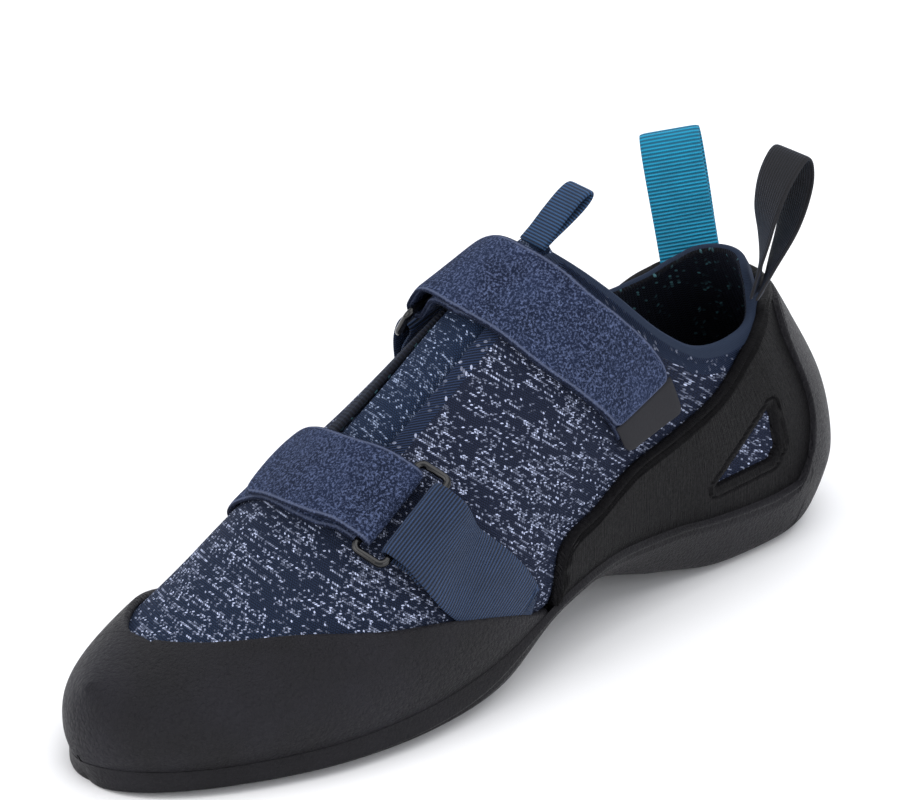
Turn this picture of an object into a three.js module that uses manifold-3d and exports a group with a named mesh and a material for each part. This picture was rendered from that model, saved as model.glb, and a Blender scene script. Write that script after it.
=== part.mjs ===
// A climbing shoe for the left foot: knitted upper on a downturned last, moulded
// rubber round toe and heel, two hook-and-loop straps through wire rings, three pull loops.
// Millimetres. +X runs from heel to toe, +Y to the outer side of the foot, +Z up.
// The floor is z = 0, and the origin is where the heel rests on it.

import * as THREE from 'three';
import { mergeVertices } from 'three/addons/utils/BufferGeometryUtils.js';
import Module from 'manifold-3d';

const wasm = await Module();
wasm.setup();

// The last
const lastLength = 256;
const ballHalfWidth = 40;
const instepHeight = 110;
const heelRound = 30;
const toeRoundInner = 34;
const toeRoundOuter = 62;
const archLift = 11;
const heelLean = 32;
const toeBow = 16;
const bedHeight = 8.2;

// Walls and clearances
const gap = 0.3;
const knitWall = 2.0;
const collarRoll = 1.0;
const randWall = 2.0;
const beadHeight = 1.1;
const beadWidth = 3.2;
const soleWall = 1.4;
const soleEdge = 5.6;
const soleFlange = 5.2;
const soleCrown = 7;
const lastingMargin = 9;
const insoleThickness = 2.0;
const insoleInset = 4;
const tongueThickness = 1.6;

// Heights and places on the side of the shoe
const randHeight = 35;
const cupHeight = 76;
const collarHeight = 71.5;
const collarBand = 5;
const windowFrame = 1.8;
const windowBevel = 1.0;
const throatWidth = 19;
const throatShift = -3.5;
const throatTip = 4;
const tongueMargin = 7;
const tongueRise = 3;
const boardRise = 11.8;

// Straps, rings and pull loops
const strapWidth = 25;
const strapThickness = 1.7;
const webbingWidth = 24;
const webbingThickness = 1.4;
const tabLength = 9;
const wireDiameter = 2.2;
const ringLength = 29.8;
const ringDepth = 9.5;
const ringCorner = 2.0;
const ringLift = 0.9;
const foldGap = 0.5;
const tongueLoopWidth = 9.5;
const sideLoopWidth = 17.5;
const heelLoopWidth = 13;
const loopThickness = 1.2;
const tongueLoopHeight = 21;
const sideLoopHeight = 36;
const heelLoopHeight = 42;

// Grid of every form taken from the last
const stationsHeel = 5;
const stationsMiddle = 13;
const stationsToe = 6;
const girthSteps = 18;

const black = { color: 0x2b2a2f, roughness: 0.75, metalness: 0 };
const sideRubber = { color: 0x262529, roughness: 0.7, metalness: 0 };
const knit = { color: 0x2c3350, roughness: 0.95, metalness: 0 };
const darkKnit = { color: 0x1f2a44, roughness: 0.95, metalness: 0 };
const velour = { color: 0x3a4662, roughness: 1, metalness: 0 };
const ribbed = { color: 0x2b3750, roughness: 0.85, metalness: 0 };
const teal = { color: 0x19769a, roughness: 0.7, metalness: 0 };
const navyTape = { color: 0x2b4867, roughness: 0.8, metalness: 0 };
const blackTape = { color: 0x1c1b1e, roughness: 0.85, metalness: 0 };
const wire = { color: 0x141416, roughness: 0.35, metalness: 0.6 };
const board = { color: 0x1b1c20, roughness: 0.95, metalness: 0 };

// Sections of the last from heel to toe. at: share of its length. outer, inner, centre
// and ridge: shares of the ball's half width. under and wide: shares of the cup's
// height, top: share of the instep's height. low and high: how square the section is.
// tread: share of the arch's lift under the sole, cut off flat where it is less than nought.
const columns = ['at', 'outer', 'inner', 'centre', 'ridge', 'under', 'wide', 'top', 'low', 'high', 'tread'];
const sections = [
  [0.00, 0.675, 0.675,  0.000, -0.175, 0.013, 0.368, 0.880, 2.6, 1.8, 0.18],
  [0.08, 0.675, 0.675,  0.000, -0.175, 0.000, 0.355, 0.900, 2.8, 1.8, -0.06],
  [0.20, 0.675, 0.675,  0.000, -0.150, 0.000, 0.355, 0.945, 3.0, 1.9, -0.06],
  [0.30, 0.690, 0.660,  0.000, -0.100, 0.030, 0.395, 1.000, 2.8, 2.0, 0.45],
  [0.40, 0.765, 0.675,  0.000, -0.025, 0.105, 0.435, 0.965, 2.5, 2.0, 1.00],
  [0.50, 0.875, 0.725,  0.000,  0.050, 0.085, 0.382, 0.818, 2.5, 2.0, 0.77],
  [0.60, 0.975, 0.825,  0.000,  0.075, 0.012, 0.316, 0.655, 3.1, 2.0, 0.10],
  [0.70, 1.000, 0.925, -0.012,  0.075, 0.000, 0.250, 0.509, 3.8, 2.0, -0.06],
  [0.80, 0.938, 0.825, -0.025,  0.050, 0.000, 0.224, 0.373, 4.4, 2.1, -0.06],
  [0.90, 0.862, 0.650, -0.050,  0.025, 0.000, 0.210, 0.282, 4.6, 2.2, -0.04],
  [1.00, 0.825, 0.525, -0.075,  0.000, 0.010, 0.200, 0.218, 4.4, 2.3, 0.00],
];

// How far the heel leans forward and the toe bows back. height: share of the cup's
// height; lean and bow: shares of heelLean and toeBow.
const heelCurve = [[0, 0.12], [0.12, 0.03], [0.29, 0], [0.55, 0.16], [0.83, 0.56], [1.105, 1], [1.47, 1.5]];
const toeCurve = [[0, 0], [0.105, -0.03], [0.24, 0], [0.37, 0.31], [0.53, 1]];

const smooth = t => t * t * (3 - 2 * t);
const limit = t => Math.min(Math.max(t, 0), 1);

// A smooth curve through values at keys, level with the chords on either side
function between(keys, values, x) {
  const last = keys.length - 1;
  const at = Math.min(Math.max(x, keys[0]), keys[last]);
  let i = 0;
  while (i < last - 1 && at >= keys[i + 1]) i += 1;
  const slope = k => {
    const a = Math.max(k - 1, 0);
    const b = Math.min(k + 1, last);
    return (values[b] - values[a]) / (keys[b] - keys[a]);
  };
  const h = keys[i + 1] - keys[i];
  const t = (at - keys[i]) / h;
  const rise = smooth(t);
  const bend = h * (slope(i) * t * (1 - t) ** 2 - slope(i + 1) * t * t * (1 - t));
  return values[i] * (1 - rise) + values[i + 1] * rise + bend;
}

const column = name => sections.map(row => row[columns.indexOf(name)]);
const sectionKeys = column('at');
const table = Object.fromEntries(columns.map(name => [name, column(name)]));
const section = (name, x) => between(sectionKeys, table[name], x / lastLength);

// u runs 0 to 1 round the heel, 1 to 2 along the foot and 2 to 3 round the toe
function stationOf(u) {
  if (u < 1) return heelRound * (1 - Math.cos(Math.PI / 2 * Math.max(u, 0)));
  if (u < 2) return heelRound + (lastLength - heelRound - toeRoundInner) * (u - 1);
  return lastLength - toeRoundInner * (1 - Math.sin(Math.PI / 2 * (Math.min(u, 3) - 2)));
}

function uOf(x) {
  const straight = lastLength - heelRound - toeRoundInner;
  if (x < heelRound) return Math.acos(1 - x / heelRound) * 2 / Math.PI;
  if (x < heelRound + straight) return 1 + (x - heelRound) / straight;
  return 2 + Math.asin(1 - (lastLength - x) / toeRoundInner) * 2 / Math.PI;
}

const endRound = (distance, radius) => Math.sqrt(Math.max(1 - limit(1 - distance / radius) ** 2, 0));
const power = (value, n) => Math.sign(value) * Math.abs(value) ** (2 / n);

// A point of the last. girth: -90 degrees below, 0 outer side, 90 on top, 180 inner side.
// On the sole's form the lower half reaches the tread and is squarer.
function lastPoint(u, girth, sole = false) {
  const x = stationOf(u);
  const c = Math.cos(girth);
  const s = Math.sin(girth);
  const heel = endRound(x, heelRound);
  const toe = endRound(lastLength - x, c >= 0 ? toeRoundOuter : toeRoundInner);
  const half = ballHalfWidth * section(c >= 0 ? 'outer' : 'inner', x) * heel * toe;
  const n = s > 0 ? section('high', x) : sole ? soleCrown : section('low', x);
  const wide = cupHeight * section('wide', x);
  const under = bedHeight + cupHeight * section('under', x);
  const low = sole ? archLift * section('tread', x) : under;
  const top = instepHeight * section('top', x);
  const rise = power(s, n);
  const z = wide + rise * (s < 0 ? wide - low : top - wide);
  const crest = s > 0 ? section('ridge', x) * rise ** 2 : 0;
  const y = half * power(c, n) + ballHalfWidth * (section('centre', x) - crest);
  const nearHeel = smooth(limit(1 - x / (0.45 * lastLength)));
  const nearToe = smooth(limit((x / lastLength - 0.75) / 0.25));
  const lean = heelLean * between(heelCurve.map(r => r[0]), heelCurve.map(r => r[1]), z / cupHeight);
  const bow = toeBow * between(toeCurve.map(r => r[0]), toeCurve.map(r => r[1]), z / cupHeight);
  return new THREE.Vector3(x + nearHeel * lean - nearToe * bow, y, z);
}

const step = 1e-3;

function lastSlopes(u, girth, sole = false) {
  const at = Math.min(Math.max(u, step), 3 - step);
  const along = lastPoint(at + step, girth, sole).sub(lastPoint(at - step, girth, sole));
  const round = lastPoint(at, girth + step, sole).sub(lastPoint(at, girth - step, sole));
  return [along.divideScalar(2 * step), round.divideScalar(2 * step)];
}

function lastNormal(u, girth, sole = false) {
  const [along, round] = lastSlopes(u, girth, sole);
  return round.cross(along).normalize();
}

// At the very heel and toe the section closes to an upright line, shared by both sides,
// whose direction outwards turns up or down near its ends
function endNormal(u, girth, sole = false) {
  const both = lastNormal(u, girth, sole).add(lastNormal(u, Math.PI - girth, sole));
  both.y = 0;
  const share = Math.sqrt(Math.abs(Math.cos(girth)));
  const turned = new THREE.Vector3(0, 0, (1 - share) * Math.sign(Math.sin(girth)));
  return both.normalize().multiplyScalar(share).add(turned).normalize();
}

function geometryOf(points, triangles) {
  const geometry = new THREE.BufferGeometry();
  const flat = points.flatMap(p => [p.x, p.y, p.z]);
  geometry.setAttribute('position', new THREE.Float32BufferAttribute(flat, 3));
  geometry.setIndex(triangles);
  return geometry;
}

function solid(geometry) {
  const bare = geometry.clone();
  bare.deleteAttribute('normal');
  bare.deleteAttribute('uv');
  const merged = mergeVertices(bare, 1e-4);
  return new wasm.Manifold(new wasm.Mesh({
    numProp: 3,
    vertProperties: new Float32Array(merged.attributes.position.array),
    triVerts: new Uint32Array(merged.index.array),
  }));
}

const stations = [];
for (let i = 0; i < stationsHeel; i++) stations.push(i / stationsHeel);
for (let i = 0; i < stationsMiddle; i++) stations.push(1 + i / stationsMiddle);
for (let i = 0; i <= stationsToe; i++) stations.push(2 + i / stationsToe);

// The last grown by an offset, as one closed form. The sole's form grows sideways only.
function form(offset, sole = false) {
  const points = [];
  const index = [];
  const end = stations.length - 1;
  const rows = stations.map((u, i) => {
    const row = [];
    for (let j = 0; j < girthSteps; j++) {
      const closing = i === 0 || i === end;
      if (closing && j > girthSteps / 2) {
        row.push(row[girthSteps - j]);
        continue;
      }
      const girth = -Math.PI / 2 + 2 * Math.PI * j / girthSteps;
      const out = closing ? endNormal(u, girth, sole) : lastNormal(u, girth, sole);
      if (sole) out.z = 0;
      row.push(points.length);
      points.push(lastPoint(u, girth, sole).addScaledVector(out, offset));
    }
    return row;
  });
  for (let i = 0; i < end; i++) {
    for (let j = 0; j < girthSteps; j++) {
      const k = (j + 1) % girthSteps;
      const [a, b, c, d] = [rows[i][j], rows[i + 1][j], rows[i + 1][k], rows[i][k]];
      index.push(a, d, b, b, d, c);
    }
  }
  return solid(geometryOf(points, index));
}

// A cutter: an outline of the side view, drawn as [x, z], run right through the shoe
const through = lastLength;
const beyond = lastLength / 4;
const roof = 1.5 * instepHeight;
const floor = -bedHeight * 2;

function sideCutter(outline) {
  const shape = new THREE.Shape(outline.map(([x, z]) => new THREE.Vector2(x, z)));
  const geometry = new THREE.ExtrudeGeometry(shape, { depth: through, bevelEnabled: false });
  geometry.rotateX(Math.PI / 2);
  geometry.translate(0, through / 2, 0);
  return solid(geometry);
}

// A cutter: an outline of the plan, drawn as [x, y], between two heights
function planCutter(outline, low, high) {
  const shape = new THREE.Shape(outline.map(([x, y]) => new THREE.Vector2(x, y)));
  const geometry = new THREE.ExtrudeGeometry(shape, { depth: high - low, bevelEnabled: false });
  geometry.translate(0, 0, low);
  return solid(geometry);
}

// The last's plan outline, drawn in by an inset
function footprint(inset, low, high) {
  const side = girth => stations.map(u => {
    const closing = u === 0 || u === 3;
    const out = closing ? endNormal(u, girth, false) : lastNormal(u, girth);
    const p = lastPoint(u, girth);
    const flat = Math.hypot(out.x, out.y);
    return [p.x - inset * out.x / flat, p.y - inset * out.y / flat];
  });
  return planCutter([...side(0), ...side(Math.PI).slice(1, -1).reverse()], low, high);
}

// Lines of the side view, as smooth curves through points that are shares of two sizes
function line(points, length, height, pieces) {
  const spline = new THREE.SplineCurve(points.map(([x, z]) => new THREE.Vector2(x * length, z * height)));
  return spline.getPoints(pieces).map(p => [p.x, p.y]);
}

// A line moved sideways, to the left of its direction
function beside(points, distance) {
  return points.map(([x, z], i) => {
    const a = points[Math.max(i - 1, 0)];
    const b = points[Math.min(i + 1, points.length - 1)];
    const length = Math.hypot(b[0] - a[0], b[1] - a[1]);
    return [x - distance * (b[1] - a[1]) / length, z + distance * (b[0] - a[0]) / length];
  });
}

// Top of the toe rubber, from the front of the toe to the waist
const randLine = line(
  [[1.12, 0.96], [0.90, 0.975], [0.80, 1.01], [0.71, 0.975], [0.65, 0.90], [0.585, 0.76], [0.50, 0.50]],
  lastLength, randHeight, 14);

// Top of the heel rubber, from the waist up to the back of the heel
const cupLine = line(
  [[0.524, 0.06], [0.520, 0.25], [0.512, 0.455], [0.488, 0.535], [0.445, 0.57], [0.382, 0.650],
   [0.310, 0.690], [0.238, 0.765], [0.188, 0.895], [0.158, 0.97], [0.128, 1.015], [0.02, 1.02]],
  lastLength, cupHeight, 22);

// Top of the sole rubber: along the toe's edge, up over the waist and up the back of the heel
const soleLine = [
  ...line([[1.12, 1.15], [0.90, 1.25], [0.75, 1.5], [0.64, 2.1], [0.56, 3.1], [0.49, 4.1], [0.41, 4.4],
    [0.31, 4.1], [0.24, 3.6], [0.15, 3.35], [0.105, 3.6]], lastLength, soleEdge, 20),
  ...line([[0.088, 0.36], [0.081, 0.50], [0.088, 0.64], [0.105, 0.79], [0.112, 0.90], [0.095, 0.985],
    [0.0, 1.0]], lastLength, cupHeight, 10),
];

// Edge of the collar, from behind the heel to the top of the tongue
const collarLine = line(
  [[0.02, 1.24], [0.125, 1.20], [0.148, 1.12], [0.166, 1.035], [0.200, 1.00], [0.235, 1.00],
   [0.268, 1.035], [0.300, 1.11], [0.330, 1.20], [0.372, 1.355], [0.42, 1.53], [0.50, 1.80]],
  lastLength, collarHeight, 20);

// Window in the heel rubber
const windowLine = [[0.154, 0.62], [0.141, 0.45], [0.152, 0.402], [0.240, 0.392]]
  .map(([x, z]) => [x * lastLength, z * cupHeight]);

function grown(outline, distance) {
  const cx = outline.reduce((t, p) => t + p[0], 0) / outline.length;
  const cz = outline.reduce((t, p) => t + p[1], 0) / outline.length;
  return outline.map(([x, z]) => {
    const far = Math.hypot(x - cx, z - cz);
    return [cx + (x - cx) * (1 + distance / far), cz + (z - cz) * (1 + distance / far)];
  });
}

// Everything that lies behind or below a line drawn from the toe to the back of the heel
function behind(points) {
  const [front, back] = [points[0], points.at(-1)];
  return [...points, [-beyond, back[1]], [-beyond, floor], [front[0], floor]];
}

// Everything above a line drawn from the heel to the toe
const above = points => [...points, [points.at(-1)[0], roof], [points[0][0], roof]];

// The part of the side that the sole rubber covers, and a clearance round it
const soleSide = clearance => behind(beside(soleLine, -clearance));

const last = form(0);
const lining = form(-gap);
const knitForm = form(knitWall);
const rollForm = form(knitWall + collarRoll);
const knitClear = form(knitWall + gap);
const rollClear = form(knitWall + collarRoll + gap)
  .intersect(sideCutter(above(beside(collarLine, -collarBand - gap))));
const randForm = form(knitWall + gap + randWall);
const randClear = form(knitWall + gap + randWall + gap);
const soleSkin = form(knitWall + gap + randWall + gap + soleWall);
const soleForm = form(soleFlange, true);

const openingTop = bedHeight + boardRise;
const bottomOpening = footprint(lastingMargin, floor, openingTop);

function buildOutsole() {
  return soleSkin.add(soleForm)
    .intersect(sideCutter(soleSide(0)))
    .subtract(randClear.add(randForm))
    .subtract(sideCutter([[-beyond, floor], [through + beyond, floor], [through + beyond, 0], [-beyond, 0]]));
}

// The toe rubber stops short of the heel rubber, which laps down over the waist
function buildToeRand() {
  const front = beside(cupLine.slice(0, 8), -gap);
  return randForm
    .intersect(sideCutter([...randLine, [randLine.at(-1)[0], floor], [randLine[0][0], floor]]))
    .subtract(sideCutter([[front[0][0], floor], ...front, [-beyond, front.at(-1)[1]], [-beyond, floor]]))
    .subtract(knitClear.add(knitForm))
    .subtract(bottomOpening);
}

// The heel rubber has a raised bead along its edge and a bevelled window on each side
function buildHeelRand() {
  const cup = randForm.intersect(sideCutter(behind(cupLine)));
  const bead = form(knitWall + gap + randWall + beadHeight)
    .intersect(sideCutter([...cupLine, ...beside(cupLine, beadWidth).reverse()]))
    .subtract(sideCutter(soleSide(gap)));
  const frame = sideCutter(grown(windowLine, windowFrame))
    .subtract(form(knitWall + gap + randWall - windowBevel));
  return cup.add(bead)
    .subtract(frame)
    .subtract(sideCutter(windowLine))
    .subtract(knitClear)
    .subtract(rollClear)
    .subtract(bottomOpening);
}

// The opening over the instep, in which the tongue shows
const throatFront = 0.69 * lastLength;
const throatBack = 0.37 * lastLength;
const throatLow = 0.42 * instepHeight;

function throatOutline(grow) {
  const outer = throatShift + throatWidth / 2 + grow;
  const inner = throatShift - throatWidth / 2 - grow;
  const front = throatFront + grow;
  const rounding = front - throatWidth / 3;
  return [[throatBack, inner], [rounding, inner], [front, throatShift - throatTip / 2],
    [front, throatShift + throatTip / 2], [rounding, outer], [throatBack, outer]];
}

function buildUpper() {
  const band = sideCutter(above(beside(collarLine, -collarBand)));
  return knitForm.add(rollForm.intersect(band))
    .subtract(last)
    .subtract(sideCutter(above(collarLine)))
    .subtract(planCutter(throatOutline(0), throatLow, roof))
    .subtract(bottomOpening);
}

function buildTongue() {
  const tongueTop = beside(collarLine, tongueRise);
  return lining.subtract(form(-gap - tongueThickness))
    .intersect(planCutter(throatOutline(tongueMargin), throatLow, roof))
    .subtract(sideCutter(above(tongueTop)));
}

function buildInsole() {
  const bed = lining.intersect(footprint(insoleInset, floor, openingTop));
  const fill = randForm.intersect(footprint(lastingMargin + gap, floor, openingTop));
  return bed.add(fill).subtract(lining.translate([0, 0, insoleThickness]));
}

// The foot on the last of a point near it, by a few Newton steps from a first guess
function settle(point, guess) {
  let [u, girth] = guess;
  for (let i = 0; i < 4; i++) {
    const off = point.clone().sub(lastPoint(u, girth));
    const [along, round] = lastSlopes(u, girth);
    const [aa, ab, bb] = [along.dot(along), along.dot(round), round.dot(round)];
    const [oa, ob] = [off.dot(along), off.dot(round)];
    const det = aa * bb - ab * ab;
    u += (bb * oa - ab * ob) / det;
    girth += (aa * ob - ab * oa) / det;
  }
  return [u, girth];
}

// A route over the last through rows of [share of its length, girth in degrees],
// measured in millimetres from its first row
function route(rows) {
  const spline = new THREE.SplineCurve(rows.map(([x, girth]) =>
    new THREE.Vector2(uOf(x * lastLength), girth * Math.PI / 180)));
  const steps = 80;
  const marks = [];
  let length = 0;
  for (let i = 0; i <= steps; i++) {
    const at = spline.getPoint(i / steps);
    const point = lastPoint(at.x, at.y);
    if (i > 0) length += point.distanceTo(marks[i - 1].point);
    marks.push({ at, point, length });
  }
  const lengths = marks.map(m => m.length);
  const us = marks.map(m => m.at.x);
  const girths = marks.map(m => m.at.y);
  const guess = d => {
    if (d <= length) return [between(lengths, us, d), between(lengths, girths, d)];
    const [u, girth] = [us.at(-1), girths.at(-1)];
    const more = (d - length) / (lengths.at(-1) - lengths.at(-3));
    return [u + more * (u - us.at(-3)), girth + more * (girth - girths.at(-3))];
  };
  return { length, guess, point: d => lastPoint(...guess(d)) };
}

// A tape as a closed solid: rows of points across it, thickened along its own normal
function tape(rows, thickness) {
  const [count, across] = [rows.length, rows[0].length];
  const points = [[], []];
  rows.forEach((row, i) => row.forEach((p, k) => {
    const along = rows[Math.min(i + 1, count - 1)][k].clone().sub(rows[Math.max(i - 1, 0)][k]);
    const side = row[Math.min(k + 1, across - 1)].clone().sub(row[Math.max(k - 1, 0)]);
    const normal = along.cross(side).normalize();
    points[0].push(p.clone().addScaledVector(normal, -thickness / 2));
    points[1].push(p.clone().addScaledVector(normal, thickness / 2));
  }));
  const at = (layer, i, k) => layer * count * across + i * across + k;
  const index = [];
  const quad = (a, b, c, d) => index.push(a, b, c, a, c, d);
  for (let i = 0; i < count - 1; i++) {
    for (let k = 0; k < across - 1; k++) {
      quad(at(1, i, k), at(1, i + 1, k), at(1, i + 1, k + 1), at(1, i, k + 1));
      quad(at(0, i, k), at(0, i, k + 1), at(0, i + 1, k + 1), at(0, i + 1, k));
    }
    quad(at(0, i, 0), at(0, i + 1, 0), at(1, i + 1, 0), at(1, i, 0));
    quad(at(1, i, across - 1), at(1, i + 1, across - 1), at(0, i + 1, across - 1), at(0, i, across - 1));
  }
  for (let k = 0; k < across - 1; k++) {
    quad(at(0, 0, k), at(1, 0, k), at(1, 0, k + 1), at(0, 0, k + 1));
    quad(at(0, count - 1, k + 1), at(1, count - 1, k + 1), at(1, count - 1, k), at(0, count - 1, k));
  }
  return solid(geometryOf([...points[0], ...points[1]], index));
}

// Rows of a tape that lies on the last along a route. stops: rows of [distance along
// the route, height above the last, share of the tape's width, share of the ring's plane].
// place: how the ring's plane lies on this route, or nothing.
const acrossSteps = 3;

function laid(path, stops, width, place) {
  return stops.map(([distance, height, share, flat = 0]) => {
    const guess = path.guess(distance);
    const middle = lastPoint(...guess);
    const ahead = path.point(distance + 1).sub(path.point(distance - 1));
    const side = lastNormal(...guess).cross(ahead).normalize();
    const row = [];
    for (let k = 0; k <= acrossSteps; k++) {
      const out = (k / acrossSteps - 0.5) * width * share;
      const foot = settle(middle.clone().addScaledVector(side, out), guess);
      const point = lastPoint(...foot).addScaledVector(lastNormal(...foot), height);
      row.push(flat > 0 ? point.lerp(place(distance - path.length, height, out), flat) : point);
    }
    return row;
  });
}

// Stops of a tape that runs to a ring, turns round its bar and comes back over itself.
// start: where its lower end lies; end: where its upper end lies; rest: the height that
// the upper layer settles to; corner: share of the width left at a rounded end.
const barRadius = wireDiameter / 2;
const spacing = 9;
const flatLength = 5;
const cornerLength = 4;

const layerLow = thickness => knitWall + gap + thickness / 2;
const layerHigh = thickness => layerLow(thickness) + thickness + 1.5 * gap;
const barTurn = thickness => barRadius + foldGap + thickness / 2;
const barHeight = thickness => layerLow(thickness) + ringLift + barTurn(thickness);
const flatness = away => 1 - smooth(limit((away - flatLength) / spacing));

function folded(path, thickness, start, end, rest, corner) {
  const turn = barTurn(thickness);
  const bar = barHeight(thickness);
  const low = layerLow(thickness);
  const stops = [];
  const lead = path.length - start;
  const lowerSteps = Math.max(Math.round(lead / spacing), 2);
  for (let i = 0; i < lowerSteps; i++) {
    const flat = flatness(lead * (1 - i / lowerSteps));
    stops.push([start + lead * i / lowerSteps, low + ringLift * flat, 1, flat]);
  }
  const turnSteps = 4;
  for (let i = 0; i <= turnSteps; i++) {
    const angle = Math.PI * i / turnSteps;
    stops.push([path.length + turn * Math.sin(angle), bar - turn * Math.cos(angle), 1, 1]);
  }
  const back = path.length - end;
  const upperSteps = Math.max(Math.round(back / spacing), 3);
  for (let i = 1; i <= upperSteps; i++) {
    const away = back * i / upperSteps;
    const drop = smooth(limit(away / (2.2 * spacing)));
    stops.push([path.length - away, bar + turn + (rest - bar - turn) * drop, 1, flatness(away)]);
  }
  if (corner < 1) {
    const [distance, height] = stops.pop();
    stops.push([distance + cornerLength, height, 1], [distance + cornerLength / 4, height, (1 + corner) / 2],
      [distance, height, corner]);
  }
  return stops;
}

// The far bar of a ring lies past the end of a strap's route. A webbing's route comes in
// straight over its last stretch and ends there.
function farBar(path, more) {
  const [u, girth] = path.guess(path.length + ringDepth + more);
  return [stationOf(u) / lastLength, girth * 180 / Math.PI];
}

// The plane of a ring at the end of a strap's route: its near bar, the way along to its far
// bar and the way across
function ringPlane(path) {
  const guess = path.guess(path.length);
  const normal = lastNormal(...guess);
  const ahead = path.point(path.length + 1).sub(path.point(path.length - 1));
  const across = normal.clone().cross(ahead).normalize();
  const along = across.clone().cross(normal).normalize();
  const near = lastPoint(...guess).addScaledVector(normal, barHeight(strapThickness));
  return { near, along, across, normal };
}

const inPlane = (plane, along, across, up) => plane.near.clone()
  .addScaledVector(plane.along, along)
  .addScaledVector(plane.across, across)
  .addScaledVector(plane.normal, up);

// A strap reaches the near bar along the plane, a webbing the far bar from the other side
const strapPlace = plane => (past, height, out) =>
  inPlane(plane, past, out, height - barHeight(strapThickness));
const webbingPlace = plane => (past, height, out) =>
  inPlane(plane, ringDepth - past, -out, height - barHeight(webbingThickness));

// A wire ring: a rectangle with round corners, closed on itself
function wireRing(plane) {
  const corner = ringCorner;
  const points = [];
  const cornerSteps = 3;
  for (const [sx, sy, start] of [[1, 1, 0], [-1, 1, 1], [-1, -1, 2], [1, -1, 3]]) {
    for (let i = 0; i <= cornerSteps; i++) {
      const angle = (start + i / cornerSteps) * Math.PI / 2;
      const across = sx * (ringLength / 2 - corner) + corner * Math.cos(angle);
      const along = ringDepth / 2 + sy * (ringDepth / 2 - corner) + corner * Math.sin(angle);
      points.push(inPlane(plane, along, across, 0));
    }
  }
  return ringTube(points, plane.normal);
}

// A round wire closed on itself through the points, which lie in one plane
function ringTube(points, normal) {
  const wireSides = 6;
  const rows = points.map((p, i) => {
    const along = points[(i + 1) % points.length].clone().sub(points.at(i - 1));
    const out = along.cross(normal).normalize();
    return Array.from({ length: wireSides }, (_, j) => {
      const angle = 2 * Math.PI * j / wireSides;
      return p.clone().addScaledVector(out, barRadius * Math.cos(angle))
        .addScaledVector(normal, barRadius * Math.sin(angle));
    });
  });
  const index = [];
  rows.forEach((row, i) => row.forEach((_, j) => {
    const [n, m] = [(i + 1) % rows.length, (j + 1) % wireSides];
    const [a, b, c, d] = [i * wireSides + j, n * wireSides + j, n * wireSides + m, i * wireSides + m];
    index.push(a, b, d, b, c, d);
  }));
  return solid(geometryOf(rows.flat(), index));
}

// A pull loop: a tape bent to a teardrop. base: middle of its sewn end. up, out and
// across: the directions of its length, of its opening and of its width, which turn with
// its twist. rows of [share of its height, millimetres outwards, twist in degrees].
function pullLoop(base, up, across, height, width, rows) {
  const out = up.clone().cross(across).normalize();
  const stations = rows.map(([rise, away, twist]) => {
    const turn = twist * Math.PI / 180;
    const side = across.clone().applyAxisAngle(up, turn);
    const middle = base.clone().addScaledVector(up, rise * height)
      .addScaledVector(out.clone().applyAxisAngle(up, turn), away);
    return [-1, 0, 1].map(k => middle.clone().addScaledVector(side, k * width / 2));
  });
  return tape(stations, loopThickness);
}

const pieces = new THREE.Group();

function addPiece(name, body, look) {
  const raw = body.getMesh();
  const geometry = new THREE.BufferGeometry();
  geometry.setAttribute('position', new THREE.Float32BufferAttribute(raw.vertProperties, 3));
  geometry.setIndex(Array.from(raw.triVerts));
  geometry.computeVertexNormals();
  const mesh = new THREE.Mesh(geometry, new THREE.MeshStandardMaterial(look));
  mesh.name = name;
  pieces.add(mesh);
}

addPiece('outsole', buildOutsole(), black);
addPiece('toe_rand', buildToeRand(), black);
addPiece('heel_rand', buildHeelRand(), sideRubber);
addPiece('upper', buildUpper(), knit);
addPiece('tongue', buildTongue(), darkKnit);
addPiece('insole', buildInsole(), board);

// Straps and webbings stop at the edge of the rubber that they are sewn under
const randSide = clearance => behind(beside(randLine, -clearance));
const cupSide = clearance => behind(beside(cupLine, -clearance));

const clearOfRubber = body => body
  .subtract(knitClear)
  .subtract(rollClear)
  .subtract(sideCutter(randSide(gap)))
  .subtract(sideCutter(cupSide(gap)));

// The front strap is sewn under the inner side of the toe rubber, turns round the ring on
// the outer side and closes back over the instep
const frontRoute = route([[0.640, 165], [0.680, 140], [0.687, 112], [0.691, 85], [0.674, 60]]);
const frontTie = route([[0.568, -13], [0.593, 3], [0.620, 17],
  farBar(frontRoute, spacing), farBar(frontRoute, 0)]);

// The rear strap runs the other way: sewn on the outer side, round a ring on the inner side
// and back, where it ends in a smooth tab
const rearRoute = route([[0.345, 20], [0.364, 29], [0.408, 42], [0.440, 57], [0.457, 80],
  [0.460, 100], [0.458, 122]]);
const rearTie = route([[0.440, 183], [0.443, 172], [0.448, 160],
  farBar(rearRoute, spacing), farBar(rearRoute, 0)]);

function strap(path, start, end, corner) {
  const stops = folded(path, strapThickness, start, end, layerHigh(strapThickness), corner);
  return clearOfRubber(tape(laid(path, stops, strapWidth, strapPlace(ringPlane(path))), strapThickness));
}

function webbing(path, strapPath) {
  const stops = folded(path, webbingThickness, path.length - spacing, 0, layerLow(webbingThickness), 1);
  const rows = laid(path, stops, webbingWidth, webbingPlace(ringPlane(strapPath)));
  return clearOfRubber(tape(rows, webbingThickness));
}

const frontFlap = 26;
addPiece('front_strap', strap(frontRoute, 0, frontFlap, 0.6), velour);
addPiece('front_webbing', webbing(frontTie, frontRoute), ribbed);
addPiece('front_ring', wireRing(ringPlane(frontRoute)), wire);

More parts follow.
